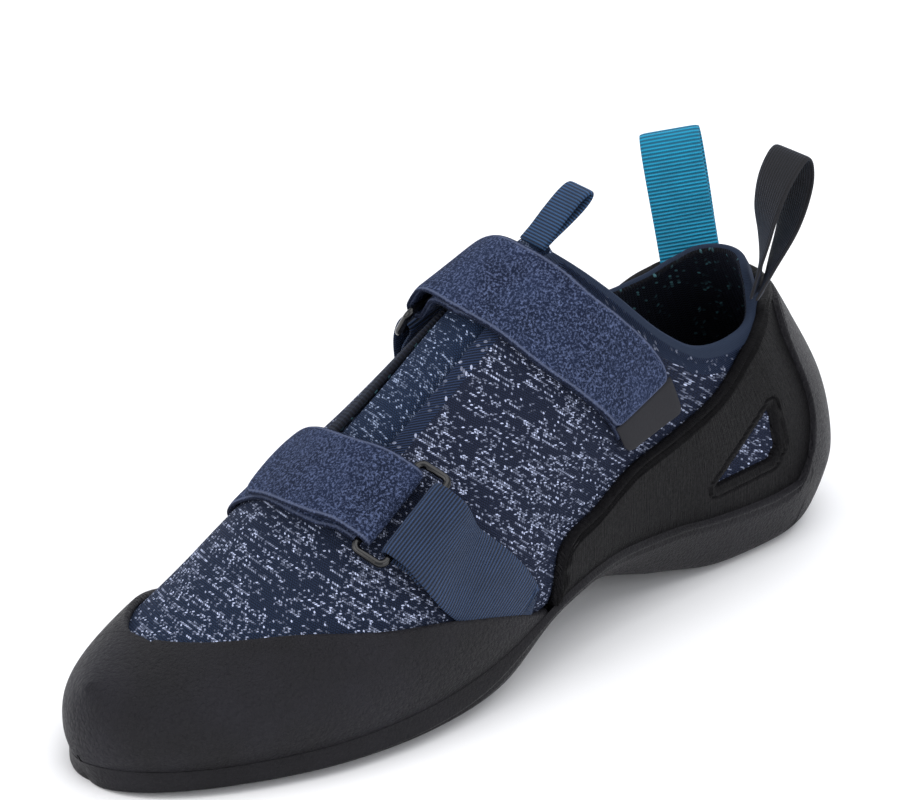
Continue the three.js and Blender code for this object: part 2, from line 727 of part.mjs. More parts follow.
const tabHeight = layerHigh(strapThickness);
const tabStops = [[0, tabHeight, 0.8], [tabLength / 8, tabHeight, 0.95], [tabLength / 2, tabHeight, 1],
  [tabLength, tabHeight, 1]];
addPiece('rear_strap', strap(rearRoute, tabLength / 3, tabLength + gap, 0.75), velour);
addPiece('rear_strap_tab', clearOfRubber(tape(laid(rearRoute, tabStops, strapWidth), strapThickness)), board);
addPiece('rear_webbing', webbing(rearTie, rearRoute), ribbed);
addPiece('rear_ring', wireRing(ringPlane(rearRoute)), wire);

// Where a pull loop is sewn on: a share of the last's length, a girth, and how far over it
function seat(share, girth, over) {
  const at = [uOf(share * lastLength), girth];
  return lastPoint(...at).addScaledVector(lastNormal(...at), over);
}

// The girth at which the last reaches a height, on its outer or inner side, by halving
function girthAt(share, height, inner = false) {
  let [low, high] = [0, Math.PI / 2];
  const halvings = 30;
  for (let i = 0; i < halvings; i++) {
    const middle = (low + high) / 2;
    if (lastPoint(uOf(share * lastLength), middle).z < height) low = middle;
    else high = middle;
  }
  return inner ? Math.PI - low : low;
}

// Directions of a loop: up along it and across its width
const towards = (x, y, z) => new THREE.Vector3(x, y, z).normalize();
const square = (across, up) => across.addScaledVector(up, -across.dot(up)).normalize();

// Two layers side by side, then out to a drop shape and round at the top
const teardrop = [[0, -0.8, 0], [0.22, -1.1, 0], [0.5, -2.4, 0], [0.78, -3, 0], [0.94, -2.1, 0], [1, 0, 0],
  [0.94, 2.1, 0], [0.78, 3, 0], [0.5, 2.4, 0], [0.22, 1.1, 0], [0, 0.8, 0]];

// The tongue's loop is sewn on the crest of the instep, in line with the tongue
const tongueLoopAt = 0.405;
const tongueSeat = 0.8 * tongueThickness + gap;
const tongueLoopUp = towards(-0.727, 0, 0.687);
addPiece('tongue_loop', pullLoop(seat(tongueLoopAt, Math.PI / 2, tongueSeat), tongueLoopUp, towards(0, 1, 0),
  tongueLoopHeight, tongueLoopWidth, teardrop), navyTape);

// The near leg of the side and heel loops lies against the collar, its middle a little over it
const loopOver = knitWall + collarRoll + 2 * gap + loopThickness;

// The side loop is sewn on the inner side, below the collar's edge, and leans outwards
const sideLoopAt = 0.027;
const sideSeat = 0.998 * cupHeight;
const sideLoopUp = towards(-5, -15, 35);
const sideLoopAcross = square(towards(-0.62, 0.72, 0.23), sideLoopUp);
addPiece('side_loop', pullLoop(seat(sideLoopAt, girthAt(sideLoopAt, sideSeat, true), loopOver),
  sideLoopUp, sideLoopAcross, sideLoopHeight, sideLoopWidth, teardrop), teal);

// The heel loop is sewn on the outer side just over the cup's edge, and twists as it rises
const heelLoopAt = 0.06;
const heelSeat = 1.02 * cupHeight;
const heelLoopUp = towards(-10.5, 1.6, 40.6);
const heelLoopAcross = square(towards(0.85, 0.53, 0), heelLoopUp);
const heelTeardrop = [[0, -0.8, 0], [0.2, -1.0, 6], [0.4, -2.0, 22], [0.6, -3.8, 40], [0.8, -4.2, 52],
  [0.94, -2.6, 58], [1, 0, 58], [0.94, 2.8, 56], [0.8, 4.6, 50], [0.55, 4.4, 36], [0.25, 2.2, 16], [0, 0.8, 0]];
addPiece('heel_loop', pullLoop(seat(heelLoopAt, girthAt(heelLoopAt, heelSeat), loopOver + 2 * gap),
  heelLoopUp, heelLoopAcross, heelLoopHeight, heelLoopWidth, heelTeardrop), blackTape);

// The heel rests on the origin
const heelRest = lastPoint(uOf(0.13 * lastLength), -Math.PI / 2, true);
pieces.position.set(-heelRest.x, -heelRest.y, 0);

export default pieces;
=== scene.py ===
# %% [markdown]
# # Dressing a climbing shoe
# This lesson dresses the solid model of a climbing shoe for the left foot. The solids give the
# true shape and place of every piece. Here each piece gets a fine surface and its material:
# knit with pale flecks, moulded rubber, velour straps, ribbed webbing and bent wire.
#
# The maker pulls the shoe over a last, a foot-shaped block. So every soft piece here is also
# worked out from one function of the last, with the same sizes as the solids, in millimetres.

import bmesh
import bpy
import numpy as np
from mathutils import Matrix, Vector


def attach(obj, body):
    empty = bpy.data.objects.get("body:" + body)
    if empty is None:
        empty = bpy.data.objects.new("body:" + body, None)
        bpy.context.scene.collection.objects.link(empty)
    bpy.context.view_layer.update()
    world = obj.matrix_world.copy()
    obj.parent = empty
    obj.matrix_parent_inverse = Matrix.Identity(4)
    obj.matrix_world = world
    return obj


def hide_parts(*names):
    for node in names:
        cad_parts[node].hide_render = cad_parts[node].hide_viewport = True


MM = 0.001
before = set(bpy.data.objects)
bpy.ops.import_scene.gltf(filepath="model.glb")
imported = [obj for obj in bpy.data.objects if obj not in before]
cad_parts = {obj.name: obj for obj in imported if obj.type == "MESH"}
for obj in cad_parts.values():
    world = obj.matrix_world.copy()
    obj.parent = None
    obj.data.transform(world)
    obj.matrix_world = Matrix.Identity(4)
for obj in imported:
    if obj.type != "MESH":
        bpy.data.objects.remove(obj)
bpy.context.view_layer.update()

# %% [markdown]
# ## The last
# A last is described by sections from heel to toe. Each section is a superellipse: an ellipse
# whose powers make it squarer or rounder, with its own half widths on the outer and inner side.
# A table of shares says how the sections change along the foot, and a smooth curve joins them.
# Two parameters then reach every point: u runs from the heel (0) to the toe (3), and girth turns
# round the foot from the sole (-90 degrees) over the outer side (0) to the instep (90) and the
# inner side (180).

# %% Sizes of the last, in millimetres
LAST_LENGTH = 256
BALL_HALF_WIDTH = 40
INSTEP_HEIGHT = 110
HEEL_ROUND = 30
TOE_ROUND_INNER = 34
TOE_ROUND_OUTER = 62
ARCH_LIFT = 11
HEEL_LEAN = 32
TOE_BOW = 16
BED_HEIGHT = 8.2
CUP_HEIGHT = 76
SOLE_CROWN = 7
GAP = 0.3

COLUMNS = ["at", "outer", "inner", "centre", "ridge", "under", "wide", "top", "low", "high", "tread"]
SECTIONS = np.array([
    [0.00, 0.675, 0.675, 0.000, -0.175, 0.013, 0.368, 0.880, 2.6, 1.8, 0.18],
    [0.08, 0.675, 0.675, 0.000, -0.175, 0.000, 0.355, 0.900, 2.8, 1.8, -0.06],
    [0.20, 0.675, 0.675, 0.000, -0.150, 0.000, 0.355, 0.945, 3.0, 1.9, -0.06],
    [0.30, 0.690, 0.660, 0.000, -0.100, 0.030, 0.395, 1.000, 2.8, 2.0, 0.45],
    [0.40, 0.765, 0.675, 0.000, -0.025, 0.105, 0.435, 0.965, 2.5, 2.0, 1.00],
    [0.50, 0.875, 0.725, 0.000, 0.050, 0.085, 0.382, 0.818, 2.5, 2.0, 0.77],
    [0.60, 0.975, 0.825, 0.000, 0.075, 0.012, 0.316, 0.655, 3.1, 2.0, 0.10],
    [0.70, 1.000, 0.925, -0.012, 0.075, 0.000, 0.250, 0.509, 3.8, 2.0, -0.06],
    [0.80, 0.938, 0.825, -0.025, 0.050, 0.000, 0.224, 0.373, 4.4, 2.1, -0.06],
    [0.90, 0.862, 0.650, -0.050, 0.025, 0.000, 0.210, 0.282, 4.6, 2.2, -0.04],
    [1.00, 0.825, 0.525, -0.075, 0.000, 0.010, 0.200, 0.218, 4.4, 2.3, 0.00],
])
HEEL_CURVE = np.array([
    [0, 0.12], [0.12, 0.03], [0.29, 0], [0.55, 0.16], [0.83, 0.56], [1.105, 1], [1.47, 1.5],
])
TOE_CURVE = np.array([[0, 0], [0.105, -0.03], [0.24, 0], [0.37, 0.31], [0.53, 1]])
print("sections:", len(SECTIONS), "with", len(COLUMNS) - 1, "values each")


# %% Curves through the tables
def smooth(t):
    """3t^2 - 2t^3 between 0 and 1, level at both ends."""
    t = np.clip(t, 0, 1)
    return t * t * (3 - 2 * t)


def between(keys, values, x):
    """A cubic through each value at its key, whose slope there is that of the chord round it."""
    last = len(keys) - 1
    before = np.maximum(np.arange(last + 1) - 1, 0)
    after = np.minimum(np.arange(last + 1) + 1, last)
    slope = (values[after] - values[before]) / (keys[after] - keys[before])
    x = np.clip(x, keys[0], keys[-1])
    i = np.clip(np.searchsorted(keys, x, side="right") - 1, 0, last - 1)
    h = keys[i + 1] - keys[i]
    t = (x - keys[i]) / h
    bend = h * (slope[i] * t * (1 - t) ** 2 - slope[i + 1] * t * t * (1 - t))
    return values[i] * (1 - smooth(t)) + values[i + 1] * smooth(t) + bend


def section(name, x):
    """One column of the table, read at x millimetres from the heel."""
    return between(SECTIONS[:, 0], SECTIONS[:, COLUMNS.index(name)], x / LAST_LENGTH)


def station(u):
    """Millimetres from the heel: a quarter circle's steps at heel and toe, even steps between."""
    straight = LAST_LENGTH - HEEL_ROUND - TOE_ROUND_INNER
    heel = HEEL_ROUND * (1 - np.cos(np.pi / 2 * np.clip(u, 0, 1)))
    toe = TOE_ROUND_INNER * (1 - np.sin(np.pi / 2 * np.clip(u - 2, 0, 1)))
    return np.where(u < 1, heel, np.where(u < 2, HEEL_ROUND + straight * (u - 1), LAST_LENGTH - toe))


def u_of(x):
    """The u whose station is x."""
    straight = LAST_LENGTH - HEEL_ROUND - TOE_ROUND_INNER
    heel = np.arccos(np.clip(1 - x / HEEL_ROUND, -1, 1)) * 2 / np.pi
    toe = 2 + np.arcsin(np.clip(1 - (LAST_LENGTH - x) / TOE_ROUND_INNER, -1, 1)) * 2 / np.pi
    middle = 1 + (x - HEEL_ROUND) / straight
    return np.where(x < HEEL_ROUND, heel, np.where(x < HEEL_ROUND + straight, middle, toe))


print("u = 1.5 lies", round(float(station(1.5)), 1), "mm from the last's heel")


# %% The last's surface
def end_round(distance, radius):
    """Half width left near an end: a quarter circle of that radius."""
    return np.sqrt(np.maximum(1 - np.clip(1 - distance / radius, 0, 1) ** 2, 0))


def power(value, n):
    """A superellipse's coordinate: the value to the power 2/n, with its sign kept."""
    return np.sign(value) * np.abs(value) ** (2 / n)


def last_point(u, girth, sole=False):
    """Each section's superellipse, with its crest moved sideways, the heel leaning forward and
    the toe bowed back by smooth curves of the height."""
    x = station(u)
    c, s = np.cos(girth), np.sin(girth)
    outer, upper = c >= 0, s > 0
    toe = end_round(LAST_LENGTH - x, np.where(outer, TOE_ROUND_OUTER, TOE_ROUND_INNER))
    width = np.where(outer, section("outer", x), section("inner", x))
    half = BALL_HALF_WIDTH * width * end_round(x, HEEL_ROUND) * toe
    n = np.where(upper, section("high", x), SOLE_CROWN if sole else section("low", x))
    wide = CUP_HEIGHT * section("wide", x)
    bed = BED_HEIGHT + CUP_HEIGHT * section("under", x)
    low = ARCH_LIFT * section("tread", x) if sole else bed
    rise = power(s, n)
    z = wide + rise * np.where(upper, INSTEP_HEIGHT * section("top", x) - wide, wide - low)
    crest = np.where(upper, section("ridge", x) * rise**2, 0)
    y = half * power(c, n) + BALL_HALF_WIDTH * (section("centre", x) - crest)
    near_heel = smooth(1 - x / (0.45 * LAST_LENGTH))
    near_toe = smooth((x / LAST_LENGTH - 0.75) / 0.25)
    lean = HEEL_LEAN * between(HEEL_CURVE[:, 0], HEEL_CURVE[:, 1], z / CUP_HEIGHT)
    bow = TOE_BOW * between(TOE_CURVE[:, 0], TOE_CURVE[:, 1], z / CUP_HEIGHT)
    return np.stack(np.broadcast_arrays(x + near_heel * lean - near_toe * bow, y, z), -1)


STEP = 1e-3


def last_slopes(u, girth, sole=False):
    """Half differences along the foot and round it."""
    at = np.clip(u, STEP, 3 - STEP)
    along = last_point(at + STEP, girth, sole) - last_point(at - STEP, girth, sole)
    around = last_point(at, girth + STEP, sole) - last_point(at, girth - STEP, sole)
    return along / (2 * STEP), around / (2 * STEP)


def unit(v):
    """The vectors at length 1."""
    return v / np.maximum(np.linalg.norm(v, axis=-1, keepdims=True), 1e-12)


def last_normal(u, girth, sole=False):
    """The cross product of both slopes, outwards."""
    along, around = last_slopes(u, girth, sole)
    return unit(np.cross(around, along))


def skin(u, rise, side, offset, sole=False):
    """A point over the last. rise is its girth measured up the outer (side 1) or inner (side
    -1) face, and offset its distance from the last. The sole grows sideways only."""
    girth = rise if side > 0 else np.pi - rise
    u, girth = np.broadcast_arrays(np.asarray(u, float), girth)
    out = last_normal(u, girth, sole)
    closing = (u < STEP) | (u > 3 - STEP)
    out[..., 1] = np.where(closing, 0, out[..., 1])
    if sole:
        out[..., 2] = 0
    return last_point(u, girth, sole) + out * np.asarray(offset)[..., None]


HEEL_REST = last_point(u_of(0.13 * LAST_LENGTH), -np.pi / 2, True)
SHIFT = np.array([-HEEL_REST[0], -HEEL_REST[1], 0])
print("the heel rests", round(float(HEEL_REST[0]), 2), "mm from the last's heel")

# %% [markdown]
# ## Camera
# The photograph looks down on the toe from the outer side with a long lens. The camera could be
# turned by three angles, but a target and a line of sight are easier to fit to an outline. It
# stands 948 mm from the target. The paper in the photograph is plain white, so the picture is
# shown with the Standard view, which keeps white as white.

# %% Camera
AZIMUTH, ELEVATION = np.radians(137.5), np.radians(25.5)
CAMERA_DISTANCE = 948.0
CAMERA_LENS = 139.09
TARGET = np.array([127.1, -8.44, 64.2])

back = np.array([
    np.sin(AZIMUTH) * np.cos(ELEVATION),
    -np.cos(AZIMUTH) * np.cos(ELEVATION),
    np.sin(ELEVATION),
])
lens = bpy.data.cameras.new("camera")
lens.lens, lens.sensor_width = CAMERA_LENS, 36
lens.clip_start, lens.clip_end = 0.05, 20
camera = bpy.data.objects.new("camera", lens)
camera.location = Vector((TARGET + SHIFT + back * CAMERA_DISTANCE) * MM)
camera.rotation_mode = "QUATERNION"
camera.rotation_quaternion = Vector(-back).to_track_quat("-Z", "Y")
bpy.context.scene.collection.objects.link(camera)
bpy.context.scene.camera = camera
bpy.context.scene.view_settings.view_transform = "Standard"
print("camera at", [round(v, 3) for v in camera.location])

# %% [markdown]
# ## Light and floor
# A product photograph is lit by large soft boxes, whose size makes the shadows soft. Area lights
# do the same here: a broad one above, one from the left front, one from the outer side and one
# from behind, which draws the far edges. A pale world fills what they leave dark. The floor is
# a plain sheet of nearly white paper.


# %% Light
def panel(name, place, aim, size, watts, colour):
    """A square area light at a place, turned towards a point."""
    data = bpy.data.lights.new(name, "AREA")
    data.shape, data.size, data.energy, data.color = "SQUARE", size, watts, colour
    lamp = bpy.data.objects.new(name, data)
    lamp.location = place
    lamp.rotation_mode = "QUATERNION"
    lamp.rotation_quaternion = (Vector(aim) - Vector(place)).to_track_quat("-Z", "Y")
    bpy.context.scene.collection.objects.link(lamp)


AIM = (0.09, 0.0, 0.05)
panel("over", (0.05, 0.25, 1.25), AIM, 1.3, 8.6, (1.0, 0.99, 0.98))
panel("front_left", (0.95, -0.25, 0.55), AIM, 0.8, 4.2, (1.0, 0.98, 0.96))
panel("side", (0.35, 1.1, 0.45), AIM, 0.9, 3.8, (0.97, 0.98, 1.0))
panel("behind", (-0.9, -0.3, 0.7), AIM, 0.8, 3.2, (0.95, 0.97, 1.0))
world = bpy.data.worlds.new("studio")
world.use_nodes = True
world.node_tree.nodes["Background"].inputs["Color"].default_value = (0.93, 0.95, 1.0, 1)
world.node_tree.nodes["Background"].inputs["Strength"].default_value = 0.74
bpy.context.scene.world = world
print("area lights:", len(bpy.data.lights))

# %% Floor
FLOOR_HALF = 3.0
floor_mesh = bpy.data.meshes.new("floor")
corners = [(-1, -1), (1, -1), (1, 1), (-1, 1)]
floor_mesh.from_pydata([(FLOOR_HALF * x, FLOOR_HALF * y, 0) for x, y in corners], [], [(0, 1, 2, 3)])
floor = bpy.data.objects.new("floor", floor_mesh)
bpy.context.scene.collection.objects.link(floor)
paper = bpy.data.materials.new("paper")
paper.use_nodes = True
paper.node_tree.nodes["Principled BSDF"].inputs["Base Color"].default_value = (0.97, 0.97, 0.975, 1)
paper.node_tree.nodes["Principled BSDF"].inputs["Roughness"].default_value = 0.9
floor_mesh.materials.append(paper)
print("floor:", 2 * FLOOR_HALF, "m wide")

# %% [markdown]
# ## Shader groups
# Some effects turn up in several materials, so each is a node group, built once. A group puts
# out only masks and heights. The lay attribute of a piece holds its own millimetres: along the
# piece, across it, and in from its edge. Patterns that follow a piece read it.


# %% A helper that writes node trees
class Wiring:
    """Adds nodes to a tree. A value that is a socket is linked, and any other is typed in."""

    def __init__(self, tree):
        self.tree = tree

    def node(self, kind, settings=None, **inputs):
        """A node with its settings, and its inputs by name, where _ stands for a space."""
        made = self.tree.nodes.new(kind)
        for key, value in (settings or {}).items():
            setattr(made, key, value)
        for key, value in inputs.items():
            self.put(made.inputs[key.replace("_", " ")], value)
        return made

    def put(self, socket, value):
        """Links a socket to another, or types in a value."""
        if isinstance(value, bpy.types.NodeSocket):
            self.tree.links.new(value, socket)
        else:
            socket.default_value = value

    def math(self, operation, *values, clamp=False):
        """One operation on values, in their order."""
        made = self.node("ShaderNodeMath", {"operation": operation, "use_clamp": clamp})
        for socket, value in zip(made.inputs, values):
            self.put(socket, value)
        return made.outputs[0]

    def vector(self, operation, *values):
        """One operation on vectors, in their order."""
        made = self.node("ShaderNodeVectorMath", {"operation": operation})
        for socket, value in zip(made.inputs, values):
            self.put(socket, value)
        return made.outputs[0]

    def join(self, x, y, z=0.0):
        """A vector of three values."""
        return self.node("ShaderNodeCombineXYZ", X=x, Y=y, Z=z).outputs[0]

    def split(self, vector):
        """The three values of a vector."""
        return self.node("ShaderNodeSeparateXYZ", Vector=vector).outputs

    def ramp(self, value, low, high, start=0.0, end=1.0):
        """A straight line from start at low to end at high, held level outside them."""
        made = self.node("ShaderNodeMapRange", Value=value)
        limits = {"From Min": low, "From Max": high, "To Min": start, "To Max": end}
        for name, number in limits.items():
            self.put(made.inputs[name], number)
        return made.outputs[0]

    def mix(self, share, a, b):
        """Colour a, turning into b as the share goes from 0 to 1."""
        made = self.node("ShaderNodeMix", {"data_type": "RGBA"})
        for name, value in zip(["Factor_Float", "A_Color", "B_Color"], [share, a, b]):
            self.put(next(s for s in made.inputs if s.identifier == name), value)
        return next(s for s in made.outputs if s.identifier == "Result_Color")

    def noise(self, vector, scale, detail=2.0, rough=0.5):
        """Smooth noise round 0.5, with that many waves in a unit of the vector."""
        inputs = {"Scale": scale, "Detail": detail, "Roughness": rough}
        return self.node("ShaderNodeTexNoise", Vector=vector, **inputs).outputs["Fac"]


def new_group(name, inputs, outputs):
    """An empty node group with named sockets: inputs as {name: start value}, outputs as a list."""
    tree = bpy.data.node_groups.new(name, "ShaderNodeTree")
    for label, value in inputs.items():
        kind = "NodeSocketVector" if value is None else "NodeSocketFloat"
        socket = tree.interface.new_socket(label, in_out="INPUT", socket_type=kind)
        if value is not None:
            socket.default_value = value
    for label in outputs:
        tree.interface.new_socket(label, in_out="OUTPUT", socket_type="NodeSocketFloat")
    wiring = Wiring(tree)
    return wiring, wiring.node("NodeGroupInput").outputs, wiring.node("NodeGroupOutput").inputs


# %% Group: knitted stitches with flecks
# Courses run across the piece. Each stitch is a slanted drop in its own cell, and every second
# course slants the other way. A cell is pale where its random number falls under a density,
# which drifts along the courses so that pale stitches come in short runs. A second random
# number says how pale it is, because yarn catches the light unevenly.
knit_inputs = {"Lay": None, "Course": 1.0, "Stitch": 1.0, "Density": 0.3}
w, given, result = new_group("knit stitches", knit_inputs, ["Stitch", "Fleck"])
x, y, _ = w.split(given["Lay"])
row = w.math("DIVIDE", x, given["Course"])
row_number = w.math("FLOOR", row)
odd = w.math("MODULO", w.math("ABSOLUTE", row_number), 2.0)
across = w.math("ADD", w.math("DIVIDE", y, given["Stitch"]), w.math("MULTIPLY", odd, 0.5))
fx = w.math("SUBTRACT", w.math("FRACT", row), 0.5)
slant = w.math("MULTIPLY", fx, w.math("SUBTRACT", w.math("MULTIPLY", odd, 1.1), 0.55))
cell = w.math("ADD", across, slant)
fy = w.math("SUBTRACT", w.math("FRACT", cell), 0.5)
along_drop = w.math("POWER", w.math("ABSOLUTE", w.math("MULTIPLY", fx, 1.9)), 2.4)
across_drop = w.math("POWER", w.math("ABSOLUTE", w.math("MULTIPLY", fy, 2.0)), 2.4)
drop = w.math("SUBTRACT", 1.0, w.math("ADD", along_drop, across_drop), clamp=True)
w.put(result["Stitch"], w.math("POWER", drop, 0.5))
cell_number = w.join(row_number, w.math("FLOOR", cell))
dice = w.node("ShaderNodeTexWhiteNoise", {"noise_dimensions": "2D"}, Vector=cell_number).outputs
bright = w.ramp(w.math("POWER", w.split(dice["Color"])[1], 2.2), 0.0, 1.0, 0.16, 1.0)
run_place = w.join(w.math("MULTIPLY", row_number, 2.63), w.math("MULTIPLY", y, 0.08))
cloud_place = w.join(w.math("MULTIPLY", x, 0.055), w.math("MULTIPLY", y, 0.035), 4.0)
run = w.ramp(w.noise(run_place, 1.0, 3.0, 0.6), 0.44, 0.64, -0.8, 2.2)
cloud = w.ramp(w.noise(cloud_place, 1.0, 2.0), 0.35, 0.65, -0.35, 0.4)
limit = w.math("MULTIPLY", given["Density"], w.math("ADD", 1.0, w.math("ADD", run, cloud)))
chosen = w.ramp(w.math("SUBTRACT", limit, dice["Value"]), 0.0, 0.08)
shown = w.math("MULTIPLY", chosen, w.ramp(drop, 0.05, 0.5))
w.put(result["Fleck"], w.math("MULTIPLY", shown, bright))

# %% Group: ribs across a tape
# Round ribs at an even pitch along the piece, each broken into warp threads.
w, given, result = new_group("ribs", {"Lay": None, "Pitch": 1.0, "Thread": 0.5}, ["Rib", "Thread"])
x, y, _ = w.split(given["Lay"])
turn = w.math("MULTIPLY", w.math("DIVIDE", x, given["Pitch"]), 2 * np.pi)
w.put(result["Rib"], w.math("ADD", 0.5, w.math("MULTIPLY", w.math("COSINE", turn), 0.5)))
warp = w.math("MULTIPLY", w.math("DIVIDE", y, given["Thread"]), 2 * np.pi)
w.put(result["Thread"], w.math("ADD", 0.5, w.math("MULTIPLY", w.math("SINE", warp), 0.5)))

# %% Group: pebbled rubber
# Small worn pebbles from cell distances, whose outlines a noise bends, over a slow unevenness.
PEBBLE_BEND = 0.9 * MM
w, given, result = new_group("rubber grain", {"Place": None, "Size": 1.0}, ["Grain", "Cloud"])
size = w.math("DIVIDE", 1.0, w.math("MULTIPLY", given["Size"], MM))
wander = w.node("ShaderNodeTexNoise", Vector=given["Place"], Scale=size, Detail=2.0)
bend = w.vector("MULTIPLY", wander.outputs["Color"], (PEBBLE_BEND, PEBBLE_BEND, PEBBLE_BEND))
bent = w.vector("ADD", given["Place"], bend)
cells = w.node("ShaderNodeTexVoronoi", {"feature": "SMOOTH_F1"}, Vector=bent, Scale=size)
pebble = cells.outputs["Distance"]
fine = w.noise(given["Place"], w.math("MULTIPLY", size, 2.6), 3.0, 0.6)
w.put(result["Grain"], w.math("ADD", w.math("MULTIPLY", pebble, 0.8), w.math("MULTIPLY", fine, 0.6)))
w.put(result["Cloud"], w.noise(given["Place"], 38.0, 3.0, 0.55))

# %% Group: velour nap
# Short fibres lie in small tufts: a speckle of two noises, one finer than the other.
w, given, result = new_group("nap", {"Place": None}, ["Tuft", "Fibre", "Stroke"])
tuft = w.noise(given["Place"], 1500.0, 2.0, 0.7)
fibre = w.noise(given["Place"], 4200.0, 2.0, 0.7)
w.put(result["Tuft"], w.ramp(tuft, 0.46, 0.68))
w.put(result["Fibre"], fibre)
w.put(result["Stroke"], w.noise(given["Place"], 75.0, 2.0, 0.5))
print("shader groups:", sorted(g.name for g in bpy.data.node_groups))


# %% [markdown]
# ## Materials
# Each material starts from a Principled shader. Colours are given as the shade seen on screen,
# 0 to 255, and turned into the linear values that the shader takes. Colour, roughness and bump
# come from the groups above, so each finish only says which group it wears and how strongly.


# %% Colours and the start of a material
def shade(red, green, blue):
    """The linear colour of a screen colour, by the sRGB curve."""
    c = np.array([red, green, blue]) / 255
    linear = np.where(c <= 0.04045, c / 12.92, ((c + 0.055) / 1.055) ** 2.4)
    return (*(float(v) for v in linear), 1.0)


def start(name, roughness, specular=0.5, sheen=0.0, sheen_colour=(1, 1, 1, 1)):
    """A material with its Principled shader and a Wiring for the rest."""
    material = bpy.data.materials.new(name)
    material.use_nodes = True
    shader = material.node_tree.nodes["Principled BSDF"]
    shader.inputs["Roughness"].default_value = roughness
    shader.inputs["Specular IOR Level"].default_value = specular
    shader.inputs["Sheen Weight"].default_value = sheen
    shader.inputs["Sheen Tint"].default_value = sheen_colour
    return material, shader, Wiring(material.node_tree)


def use(wiring, group_name, **inputs):
    """Places a node group and gives its outputs."""
    made = wiring.node("ShaderNodeGroup", {"node_tree": bpy.data.node_groups[group_name]})
    for key, value in inputs.items():
        wiring.put(made.inputs[key], value)
    return made.outputs


def lay_of(wiring, label="lay"):
    """The piece's own millimetres: along, across, in from the edge."""
    return wiring.node("ShaderNodeAttribute", {"attribute_name": label}).outputs["Vector"]


def place_of(wiring):
    """The point of the piece in metres."""
    return wiring.node("ShaderNodeTexCoord").outputs["Object"]


def bump(wiring, shader, height, depth, strength=1.0, under=None):
    """A Bump node of that depth in millimetres on the shader's Normal."""
    inputs = {"Strength": strength, "Distance": depth * MM, "Height": height}
    if under is not None:
        inputs["Normal"] = under
    made = wiring.node("ShaderNodeBump", None, **inputs)
    wiring.put(shader.inputs["Normal"], made.outputs["Normal"])
    return made.outputs["Normal"]


# %% [markdown]
# ### Knit
# The sock is knitted from navy yarn with a pale yarn among it, which shows as short bright
# stitches. A picture of a knit would be quicker, but it would repeat, and stitches worked out by
# a formula stay sharp close up. On the lining the pale yarn is turquoise, sparse and coarser.


# %% Knit
def knit_material(name, ground, toe_ground, deep, fleck, course, stitch, density, depth):
    """Between stitches the colour is deep, on them the ground, which is bluer near the toe,
    and the fleck's colour goes over both by the Fleck mask."""
    material, shader, w = start(name, 0.9, 0.2, 0.12, shade(120, 140, 190))
    lay = lay_of(w)
    knit = use(w, "knit stitches", Lay=lay, Course=course, Stitch=stitch, Density=density)
    forward = w.ramp(w.split(place_of(w))[0], 0.13, 0.20)
    ground_here = w.mix(forward, shade(*ground), shade(*toe_ground))
    yarn = w.mix(knit["Stitch"], shade(*deep), ground_here)
    w.put(shader.inputs["Base Color"], w.mix(knit["Fleck"], yarn, shade(*fleck)))
    raised = w.math("ADD", knit["Stitch"], w.math("MULTIPLY", knit["Fleck"], 0.35))
    bump(w, shader, raised, depth)
    return material


KNIT = knit_material(
    "knit", (26, 34, 56), (24, 41, 66), (5, 6, 13), (190, 200, 230), 0.62, 0.76, 0.27, 0.30)
TONGUE_KNIT = knit_material(
    "tongue knit", (26, 44, 72), (26, 44, 72), (7, 10, 20), (160, 176, 208), 0.62, 0.8, 0.24, 0.4)
LINING = knit_material(
    "lining", (13, 13, 17), (13, 13, 17), (4, 4, 6), (96, 150, 160), 1.3, 1.2, 0.08, 0.4)

# %% [markdown]
# ### Collar rim, seam band and a roll in painted shade
# Where the knit ends, its edge is ribbed: fine upright ribs on the rim of the collar, a band of
# slanted ribs beside the throat and a nearly black roll on the throat's inner side, whose dark
# colour is painted shade. One function makes all three, because they differ only in pitch, slant
# and colour. Its ribs follow the edge by the rim attribute.


# %% Ribbed knit
def rib_knit(name, ground, deep, pitch, lean, depth, fleck=0.0):
    """Ribs at a pitch along the edge, which slant by lean as they come in from it."""
    material, shader, w = start(name, 0.85, 0.25, 0.12, shade(90, 120, 170))
    x, y, edge = w.split(lay_of(w, "rim"))
    slanted = w.join(w.math("ADD", x, w.math("MULTIPLY", edge, lean)), edge)
    ribs = use(w, "ribs", Lay=slanted, Pitch=pitch, Thread=0.9)
    yarn = w.mix(ribs["Rib"], shade(*deep), shade(*ground))
    knit = use(w, "knit stitches", Lay=w.join(x, edge), Course=1.0, Stitch=1.0, Density=fleck)
    w.put(shader.inputs["Base Color"], w.mix(knit["Fleck"], yarn, shade(190, 198, 224)))
    bump(w, shader, w.math("ADD", ribs["Rib"], w.math("MULTIPLY", ribs["Thread"], 0.2)), depth)
    return material


RIM = rib_knit("collar rim", (32, 44, 64), (22, 31, 48), 0.55, 0.0, 0.10)
BAND = rib_knit("slanted band", (34, 50, 82), (5, 8, 18), 0.95, 1.0, 0.4, 0.10)
# The roll's nearly black colours are painted shade: on the throat's inner side the sock's edge lies in
# shadow.
SHADED_ROLL = rib_knit("roll in painted shade", (17, 20, 32), (6, 7, 13), 1.1, 0.3, 0.3)

# %% [markdown]
# ### Rubber
# Climbing rubber is black and satin. On the toe it is pebbled like worn leather, on the side
# finely ridged, and on the sole smoother. The pebbles could be sculpted, but they are so low
# that a bump shows them as well. Slow clouds of a paler shade stand for wear.


